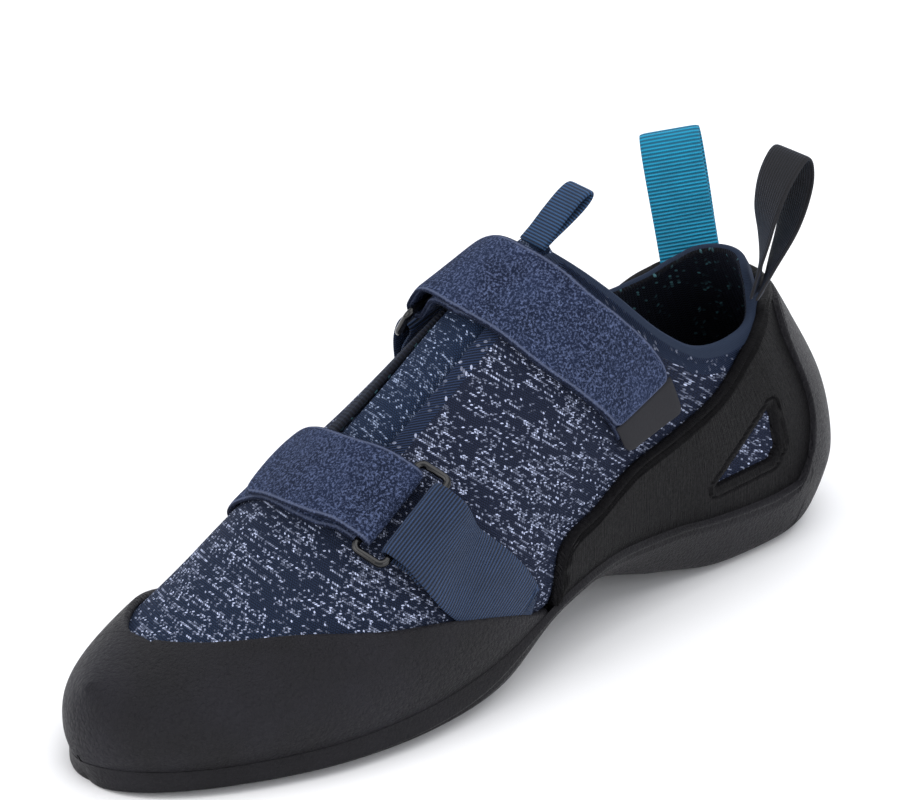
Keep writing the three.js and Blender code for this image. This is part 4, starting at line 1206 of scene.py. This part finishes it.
def cup_relief(points, edge):
    """Millimetres over the cup's face: two beads, two grooves, the window and its frame."""
    beads = BEAD_HEIGHT * bump_of(edge, 0.9, 1.1) + 0.75 * BEAD_HEIGHT * bump_of(edge, 2.75, 0.9)
    groove = 0.8 * bump_of(edge, 1.9, 0.45) + 0.9 * bump_of(edge, 4.05, 0.5)
    outline = np.vstack([window, window[:1]])
    hole = to_line(points, outline) * np.where(within(points, window), 1, -1)
    frame_groove = 0.7 * bump_of(hole, -3.1, 0.5)
    bevel = 0.9 * smooth((hole + 2.4) / 2.4)
    sink = 3.4 * smooth((hole + 0.15) / 0.6)
    return beads - groove - frame_groove - bevel - sink


def cup_half(side):
    """Columns down the outside, with the relief on it, and up the inside."""
    u = np.linspace(0, u_of(CUP_FRONT), 260)
    edge_to = below(cup_line)
    high = crossing(u, side, RUBBER_TOP, edge_to)
    low = np.minimum(np.full(len(u), np.radians(-55)), high - 0.05)
    table = column_table(u, side, low, high, RUBBER_TOP)
    down = spread(table[1][:, -1], EDGE_STEPS[:12], 104)
    down_in = spread(table[1][:, -1], EDGE_STEPS[:8], 10)
    rise_out, rise_in = rise_at(table, down), rise_at(table, down_in)
    face, face_in = [skin(u[:, None], rise, side, RUBBER_TOP) for rise in (rise_out, rise_in)]
    edge = np.minimum(np.maximum(edge_to(face), 0), down)
    edge_in = np.minimum(np.maximum(edge_to(face_in), 0), down_in)
    inner_face = KNIT_WALL + 0.1
    _, outer = rounded(edge, inner_face, RUBBER_TOP)
    inner, _ = rounded(edge_in, inner_face, RUBBER_TOP)
    inner = np.minimum(inner, inner + cup_relief(face_in, edge_in + PAST_BEADS))
    outside = skin(u[:, None], rise_out, side, outer + cup_relief(face, edge))
    points = np.hstack([outside, skin(u[:, None], rise_in, side, inner)[:, ::-1]])
    along = along_foot(u, side)[:, None]
    lay_out = np.stack([along + 0 * down, down, edge], -1)
    lay_in = np.stack([along + 0 * down_in, down_in, edge_in], -1)
    return points, np.hstack([lay_out, lay_in[:, ::-1]])


a, b = cup_half(1), cup_half(-1)
points, lay = [np.vstack([p[::-1], q[1:]]) for p, q in zip(a, b)]
dress(make_piece("heel_cup", points, lay, [SIDE_RUBBER]), "side_rubber", "heel_rand")

# %% [markdown]
# ## Sole
# The sole is one shell round the whole foot: a thin edge with a round lower corner at the toe,
# a lifted arch, and a wrap that climbs the heel. Two surfaces share the work. Below, the last
# grows sideways only, which gives an upright edge. Above, it grows along its normal, which
# gives a skin over the cup. A smooth share of the height blends them.

# %% Sole
SOLE_WALL = 1.4
SOLE_FLANGE = 4.8
BOTTOM_ROUND = 3.0
SOLE_SKIN = RUBBER_TOP + GAP + SOLE_WALL


def sole_face(u, rise, side):
    """The sole's outside: upright edges below, blending into a skin over the heel cup."""
    height = skin(u, rise, side, SOLE_FLANGE, sole=True)[..., 2]
    left = np.clip(1 - height / BOTTOM_ROUND, 0, 1)
    lower = skin(u, rise, side, SOLE_FLANGE - BOTTOM_ROUND * (1 - np.sqrt(1 - left**2)), sole=True)
    upper_skin = skin(u, rise, side, SOLE_SKIN)
    share = smooth((upper_skin[..., 2] - 5) / 14)[..., None]
    face = lower * (1 - share) + upper_skin * share
    face[..., 2] = np.maximum(face[..., 2], 0)
    return face


def sole_half(side):
    """Columns from the middle of the tread up to the lip, which thins out to nothing."""
    u = np.linspace(0, 3, 250)
    high = crossing(u, side, SOLE_SKIN, below(sole_line), -89.0)
    low = np.full(len(u), np.radians(-90))
    table = column_table(u, side, low, high, SOLE_FLANGE, sole=True)
    down = spread(table[1][:, -1], EDGE_STEPS[:8], 86)
    rise = rise_at(table, down)
    outside = sole_face(u[:, None], rise, side)
    inside = skin(u[:, None], rise, side, RUBBER_TOP + 0.1)
    lip = (smooth(down / 0.7) - 0.5 * bump_of(down, 1.5, 0.6))[..., None]
    outside = inside * (1 - lip) + outside * lip
    along = along_foot(u, side)[:, None] + 0 * down
    return outside, inside, np.stack([along, down, down], -1)


(out_a, in_a, lay_a), (out_b, in_b, lay_b) = sole_half(1), sole_half(-1)
points = np.hstack([out_a, out_b[:, ::-1][:, 1:], in_b[:, 1:], in_a[:, ::-1][:, 1:-1]])
lay = np.hstack([lay_a, lay_b[:, ::-1][:, 1:], lay_b[:, 1:], lay_a[:, ::-1][:, 1:-1]])
dress(make_piece("sole", points, lay, [SOLE_RUBBER]), "rubber", "outsole")

# %% [markdown]
# ## Straps, webbings and wire rings
# A strap of hook-and-loop tape follows a route over the last. It runs flat to its ring, turns
# round the wire and comes back over itself, standing a little off where it has just turned. A
# curve with a bevel would twist and pinch at such a turn. So the tape is a grid: its middle line
# follows the route, each row is stepped sideways over the last, and the rows turn as one plane
# where they pass the ring.

# %% Routes
STRAP_WIDTH, STRAP_THICKNESS = 25, 1.7
WEBBING_WIDTH, WEBBING_THICKNESS = 24, 1.4
TAB_LENGTH = 9
WIRE_DIAMETER = 2.2
RING_LENGTH, RING_DEPTH, RING_CORNER, RING_LIFT = 29.8, 9.5, 2.0, 0.9
FOLD_GAP = 0.5
SPACING = 9
FLAT_LENGTH = 5


class Route:
    """A curve through rows of [share of the length, girth in degrees], by its millimetres."""

    def __init__(self, rows):
        rows = np.array(rows, float)
        guide = np.stack([u_of(rows[:, 0] * LAST_LENGTH), np.radians(rows[:, 1])], -1)
        self.at = curve(guide, 400)
        path = last_point(self.at[:, 0], self.at[:, 1])
        self.marks = np.concatenate([[0], np.cumsum(np.linalg.norm(np.diff(path, axis=0), axis=-1))])
        self.length = self.marks[-1]

    def guess(self, d):
        """u and girth at a distance, going straight on past the end."""
        past = np.maximum(d - self.length, 0)[..., None]
        slope = (self.at[-1] - self.at[-20]) / (self.marks[-1] - self.marks[-20])
        inside = np.stack([np.interp(d, self.marks, self.at[:, k]) for k in (0, 1)], -1)
        return inside + past * slope

    def point(self, d):
        """The last's point at a distance."""
        at = self.guess(d)
        return last_point(at[..., 0], at[..., 1])


def settle(point, guess):
    """u and girth of the last's point nearest to each point, by four Newton steps."""
    u, girth = guess[..., 0] + 0 * point[..., 0], guess[..., 1] + 0 * point[..., 0]
    for _ in range(4):
        off = point - last_point(u, girth)
        along, around = last_slopes(u, girth)
        aa, ab, bb = (along**2).sum(-1), (along * around).sum(-1), (around**2).sum(-1)
        oa, ob = (off * along).sum(-1), (off * around).sum(-1)
        det = aa * bb - ab * ab
        u, girth = u + (bb * oa - ab * ob) / det, girth + (aa * ob - ab * oa) / det
    return u, girth


def far_bar(path, more):
    """Where a ring's far bar lies past a route's end, as a row for the next route."""
    u, girth = path.guess(np.array(path.length + RING_DEPTH + more))
    return [float(station(u)) / LAST_LENGTH, float(np.degrees(girth))]


# %% Heights of the layers
def layer_low(thickness):
    """The middle of a tape that lies on the sock."""
    return KNIT_WALL + GAP + thickness / 2


def layer_high(thickness):
    """The middle of a tape that lies on another one."""
    return layer_low(thickness) + thickness + 1.5 * GAP


def bar_turn(thickness):
    """The radius of a tape's middle round a ring's bar."""
    return WIRE_DIAMETER / 2 + FOLD_GAP + thickness / 2


def bar_height(thickness):
    """The height of a bar's middle: the tape that comes to it from below, and its turn."""
    return layer_low(thickness) + RING_LIFT + bar_turn(thickness)


def flatness(away):
    """1 at the ring, where a strap lies in the ring's plane, and 0 further off."""
    return 1 - smooth((away - FLAT_LENGTH) / SPACING)


class Plane:
    """The plane of a ring at the end of a strap's route."""

    def __init__(self, path):
        at = path.guess(np.array(path.length))
        self.up = last_normal(at[0], at[1])
        ahead = path.point(np.array(path.length + 1.0)) - path.point(np.array(path.length - 1.0))
        self.across = unit(np.cross(self.up, ahead))
        self.along = unit(np.cross(self.across, self.up))
        self.near = last_point(at[0], at[1]) + self.up * bar_height(STRAP_THICKNESS)

    def point(self, along, across, up):
        """The near bar's middle, moved by millimetres along, across and up."""
        parts = [np.asarray(v)[..., None] for v in np.broadcast_arrays(along, across, up)]
        return self.near + parts[0] * self.along + parts[1] * self.across + parts[2] * self.up


# %% A tape laid along a route
ACROSS = np.sin(np.linspace(-np.pi / 2, np.pi / 2, 33))


def laid(path, stops, width, place, oblique=0.0):
    """The middle surface of a tape: rows at stops of [distance, height, share of the width,
    share of the ring's plane], each stepped sideways over the last. An oblique end reaches
    further by that length on the heel side."""
    distance, height, share, flat = stops.T
    guess = path.guess(distance)
    middle = last_point(guess[:, 0], guess[:, 1])
    ahead = path.point(distance + 1) - path.point(distance - 1)
    side = unit(np.cross(last_normal(guess[:, 0], guess[:, 1]), ahead))
    out = ACROSS[None, :] * width * share[:, None] / 2
    lead = oblique * (0.5 - out / width) * smooth(1 - distance / 30)[:, None]
    spot = middle[:, None] + side[:, None] * out[..., None] - unit(ahead)[:, None] * lead[..., None]
    u, girth = settle(spot, guess[:, None, :])
    points = last_point(u, girth) + last_normal(u, girth) * height[:, None, None]
    flat_points = place(distance[:, None] - path.length, out, height[:, None] + 0 * out)
    return points * (1 - flat[:, None, None]) + flat_points * flat[:, None, None], out


def folded_stops(path, thickness, start_at, end_at, rest, bulge, drop_length, back_step=0.7):
    """Stops of a tape up to its ring, round the bar and back over itself."""
    turn, bar, low = bar_turn(thickness), bar_height(thickness), layer_low(thickness)
    lower = np.arange(start_at, path.length, back_step)
    flat = flatness(path.length - lower)
    first = np.stack([lower, low + RING_LIFT * flat, 1 + 0 * lower, flat], -1)
    angle = np.linspace(0, np.pi, 17)
    past, height, ones = turn * np.sin(angle), bar - turn * np.cos(angle), np.ones_like(angle)
    round_bar = np.stack([path.length + past, height, ones, ones], -1)
    away = np.arange(back_step, path.length - end_at, back_step)
    fall = smooth(away / drop_length)
    swell = bulge * np.sin(np.pi * np.clip(away / drop_length, 0, 1)) ** 1.3
    height = bar + turn + (rest - bar - turn) * fall + swell
    over = np.stack([path.length - away, height, 1 + 0 * away, flatness(away)], -1)
    return np.vstack([first, round_bar, over])


def rounded_end(stops, radius, width):
    """Narrows the last rows of a tape by a quarter circle, so that it has round corners."""
    step = np.abs(np.diff(stops[:, 0], append=stops[-1, 0]))
    left = np.cumsum(step[::-1])[::-1]
    inset = radius - np.sqrt(np.maximum(radius**2 - np.maximum(radius - left, 0) ** 2, 0))
    narrowed = stops.copy()
    narrowed[:, 2] *= 1 - 2 * inset / width
    return narrowed


END_ROUND = 0.7


def tape_piece(name, surface, out, thickness, material, wave=None):
    """A tape round its middle surface: a flat oval section, thin at both ends. A wave of the
    millimetres along it raises ribs on its upper face."""
    along = np.gradient(surface, axis=0)
    across = np.gradient(surface, axis=1)
    normal = unit(np.cross(along, across))
    run = path_length(surface[:, surface.shape[1] // 2])
    reach = np.abs(ACROSS) ** 10
    half = thickness / 2 * np.sqrt(np.maximum(1 - reach, 0))[None, :] + 0 * out
    ends = round_edge(run, END_ROUND) * round_edge(run[-1] - run, END_ROUND)
    half = half * ends[:, None]
    top = half if wave is None else half + wave(run)[:, None] * (1 - reach)[None, :] * ends[:, None]
    over = surface + normal * top[..., None]
    under = surface - normal * half[..., None]
    edge = np.abs(out).max(1, keepdims=True) - np.abs(out)
    edge = np.minimum(edge, np.minimum(run, run[-1] - run)[:, None])
    lay = np.stack([run[:, None] + 0 * out, out, edge], -1)
    points = np.hstack([over, under[:, ::-1]])
    return make_piece(name, points, np.hstack([lay, lay[:, ::-1]]), [material])


# %% The two straps
front_path = Route([[0.640, 165], [0.680, 140], [0.687, 112], [0.691, 85], [0.674, 60]])
rear_path = Route([[0.345, 20], [0.364, 29], [0.408, 42], [0.440, 57], [0.457, 80], [0.460, 100],
                   [0.458, 122]])
FRONT_FLAP = 26
REAR_OBLIQUE = 6
front_plane, rear_plane = Plane(front_path), Plane(rear_path)


def strap_place(plane):
    """A strap's point in the plane of its ring, by its distance past the near bar."""
    return lambda past, out, height: plane.point(past, out, height - bar_height(STRAP_THICKNESS))


on_strap = layer_high(STRAP_THICKNESS)
stops = folded_stops(front_path, STRAP_THICKNESS, 0.5, FRONT_FLAP, on_strap, 1.2, 34)
stops = rounded_end(stops, 4, STRAP_WIDTH)
surface, out = laid(front_path, stops, STRAP_WIDTH, strap_place(front_plane))
strap = tape_piece("front_strap_velour", surface, out, STRAP_THICKNESS, VELOUR)
dress(strap, "velour", "front_strap")

stops = folded_stops(rear_path, STRAP_THICKNESS, 4, TAB_LENGTH + 0.2, on_strap - 0.6, 0.6, 24)
stops = rounded_end(stops, 3.5, STRAP_WIDTH)
surface, out = laid(rear_path, stops, STRAP_WIDTH, strap_place(rear_plane), REAR_OBLIQUE)
strap = tape_piece("rear_strap_velour", surface, out, STRAP_THICKNESS, VELOUR)
dress(strap, "velour", "rear_strap")

# %% The smooth tab at the rear strap's end
TAB_THICKNESS = 1.1
distance = np.arange(0, TAB_LENGTH + 1.5, 0.5)[::-1]
ones = np.ones_like(distance)
stops = np.stack([distance, (on_strap - 0.3) * ones, ones, 0 * ones], -1)
stops = rounded_end(stops, 3, STRAP_WIDTH)
surface, out = laid(rear_path, stops, STRAP_WIDTH, strap_place(rear_plane), REAR_OBLIQUE)
tab = tape_piece("rear_strap_end", surface, out, TAB_THICKNESS, TAB)
dress(tab, "tab", "rear_strap_tab")

# %% [markdown]
# Each ring is tied to the shoe by a short webbing, which turns round the ring's far bar and is
# sewn down on the sock. Its ribs are fine enough for a bump, but along its edge they would
# look flat, so they are also raised in the mesh.

# %% The two webbings
RIB_HEIGHT = 0.2
front_tie = Route([
    [0.568, -13], [0.593, 3], [0.620, 17], far_bar(front_path, SPACING), far_bar(front_path, 0),
])
rear_tie = Route([
    [0.440, 183], [0.443, 172], [0.448, 160], far_bar(rear_path, SPACING), far_bar(rear_path, 0),
])


def webbing_place(plane):
    """A webbing's point in the ring's plane: it comes from the other side to the far bar."""
    drop = bar_height(WEBBING_THICKNESS)
    return lambda past, out, height: plane.point(RING_DEPTH - past, -out, height - drop)


def rib_wave(pitch):
    """Ribs as a cosine of the millimetres along a tape, from 0 up to their height."""
    return lambda run: RIB_HEIGHT * (0.5 + 0.5 * np.cos(2 * np.pi * run / pitch))


on_sock = layer_low(WEBBING_THICKNESS)
for end, tie, plane in [("front", front_tie, front_plane), ("rear", rear_tie, rear_plane)]:
    first = tie.length - SPACING
    stops = folded_stops(tie, WEBBING_THICKNESS, first, 0, on_sock, 0, 20, 0.19)
    surface, out = laid(tie, stops, WEBBING_WIDTH, webbing_place(plane))
    ribs = rib_wave(WEB_PITCH)
    made = tape_piece(end + "_webbing_ribbed", surface, out, WEBBING_THICKNESS, WEBBING, ribs)
    dress(made, "webbing", end + "_webbing")


# %% Wire rings
def wire_ring(name, plane, node):
    """A round wire along a rectangle with round corners, in the ring's plane."""
    turn = np.linspace(0, 2 * np.pi, 96, endpoint=False)
    c, s = np.cos(turn), np.sin(turn)
    across = np.sign(c) * (RING_LENGTH / 2 - RING_CORNER) + RING_CORNER * c
    along = RING_DEPTH / 2 + np.sign(s) * (RING_DEPTH / 2 - RING_CORNER) + RING_CORNER * s
    centre = plane.point(along, across, 0 * along)
    ahead = np.roll(centre, -1, axis=0) - np.roll(centre, 1, axis=0)
    out_dir = unit(np.cross(ahead, plane.up))
    angle = np.linspace(0, 2 * np.pi, 14, endpoint=False)
    circle = np.cos(angle)[None, :, None] * out_dir[:, None] + np.sin(angle)[None, :, None] * plane.up
    points = centre[:, None] + circle * WIRE_DIAMETER / 2
    made = make_piece(name, points, np.zeros_like(points), [WIRE], closed=True)
    return dress(made, "wire", node)


wire_ring("front_wire", front_plane, "front_ring")
wire_ring("rear_wire", rear_plane, "rear_ring")

# %% [markdown]
# ## Pull loops
# Each loop is a tape bent to a long drop and sewn down at both ends. Its profile rises from
# the seam, bulges out, turns over at the top and comes down on the other side. A simulated
# ribbon would sag as it likes, so the profile is a table of a few stops that the photograph
# gives: how high, how far out, and how far the tape has turned on itself.

# %% Seats on the last
LOOP_THICKNESS = 1.2
LOOP_OVER = KNIT_WALL + COLLAR_ROLL + 2 * GAP + LOOP_THICKNESS


def girth_at(share, height, inner=False):
    """The girth at which the last reaches a height, by halving."""
    low, high = 0.0, np.pi / 2
    for _ in range(30):
        middle = (low + high) / 2
        reached = last_point(u_of(share * LAST_LENGTH), np.array(middle))[2] >= height
        low, high = (low, middle) if reached else (middle, high)
    return np.pi - low if inner else low


def seat(share, girth, over):
    """A point at a share of the last's length and a girth, so far off the last."""
    u = u_of(share * LAST_LENGTH)
    return last_point(u, np.array(girth)) + last_normal(u, np.array(girth)) * over


side_seat = seat(0.027, girth_at(0.027, 0.998 * CUP_HEIGHT, True), LOOP_OVER)
heel_seat = seat(0.06, girth_at(0.06, 1.02 * CUP_HEIGHT), LOOP_OVER + 2 * GAP)
tongue_seat = seat(0.405, np.pi / 2, 0.8 * TONGUE_THICKNESS + GAP)
for label, point in [("side", side_seat), ("heel", heel_seat), ("tongue", tongue_seat)]:
    print(label, "loop is sewn down at", [round(float(v), 1) for v in point])


# %% A loop from its profile
def pull_loop(name, base, up, across, height, width, rows, material, wave=None):
    """A tape whose middle line goes through rows of [share of the height, millimetres out,
    twist in degrees], smoothed by a curve."""
    up = unit(np.array(up, float))
    across = unit(np.array(across, float) - np.dot(across, up) * up)
    out_dir = unit(np.cross(up, across))
    rise, away, twist = curve(rows, 260).T
    turn = np.radians(twist)[:, None]
    side = across * np.cos(turn) + out_dir * np.sin(turn)
    away_dir = out_dir * np.cos(turn) - across * np.sin(turn)
    middle = base + up * (rise * height)[:, None] + away_dir * away[:, None]
    out = ACROSS[None, :] * width / 2 + 0 * rise[:, None]
    surface = middle[:, None] + side[:, None] * out[..., None]
    return tape_piece(name, surface, out, LOOP_THICKNESS, material, wave)


TEARDROP = np.array([
    [0, -0.8, 0], [0.22, -1.1, 0], [0.5, -2.4, 0], [0.78, -3, 0], [0.94, -2.1, 0], [1, 0, 0],
    [0.94, 2.1, 0], [0.78, 3, 0], [0.5, 2.4, 0], [0.22, 1.1, 0], [0, 0.8, 0],
])

# %% [markdown]
# The navy loop on the tongue is narrow and leans back. It opens only half as far as the drop.

# %% Tongue loop
TONGUE_LOOP_HEIGHT, TONGUE_LOOP_WIDTH = 21, 9.5
rows = TEARDROP * [1, 0.5, 1]
loop = pull_loop("tongue_loop_tape", tongue_seat, (-0.82, 0.06, 0.57), (0, 1, 0),
                 TONGUE_LOOP_HEIGHT, TONGUE_LOOP_WIDTH, rows, NAVY, rib_wave(NAVY_PITCH))
dress(loop, "navy_tape", "tongue_loop")

# %% [markdown]
# The teal loop stands at the heel, on the inner side. Its two legs reach a little below its
# seat, so that neither end shows.

# %% Side loop
SIDE_LOOP_HEIGHT, SIDE_LOOP_WIDTH = 36, 17.5
rows = TEARDROP.copy()
rows[[0, -1]] = [[-0.08, -0.7, 0], [-0.08, 0.7, 0]]
loop = pull_loop("side_loop_tape", side_seat, (-5, -15, 35), (-0.62, 0.72, 0.23),
                 SIDE_LOOP_HEIGHT, SIDE_LOOP_WIDTH, rows, TEAL, rib_wave(TEAL_PITCH))
dress(loop, "teal_tape", "side_loop")

# %% [markdown]
# The black loop at the heel turns as it rises, by 58 degrees at its top. So its profile has its
# own table.

# %% Heel loop
HEEL_LOOP_HEIGHT, HEEL_LOOP_WIDTH = 42, 13
HEEL_TEARDROP = [
    [0, -0.8, 0], [0.2, -1.0, 6], [0.4, -2.0, 22], [0.6, -3.8, 40], [0.8, -4.2, 52], [0.94, -2.6, 58],
    [1, 0, 58], [0.94, 2.8, 56], [0.8, 4.6, 50], [0.55, 4.4, 36], [0.25, 2.2, 16], [0, 0.8, 0],
]
loop = pull_loop("heel_loop_tape", heel_seat, (-10.5, 1.6, 40.6), (0.85, 0.53, 0),
                 HEEL_LOOP_HEIGHT, HEEL_LOOP_WIDTH, HEEL_TEARDROP, BLACK)
dress(loop, "black_tape", "heel_loop")
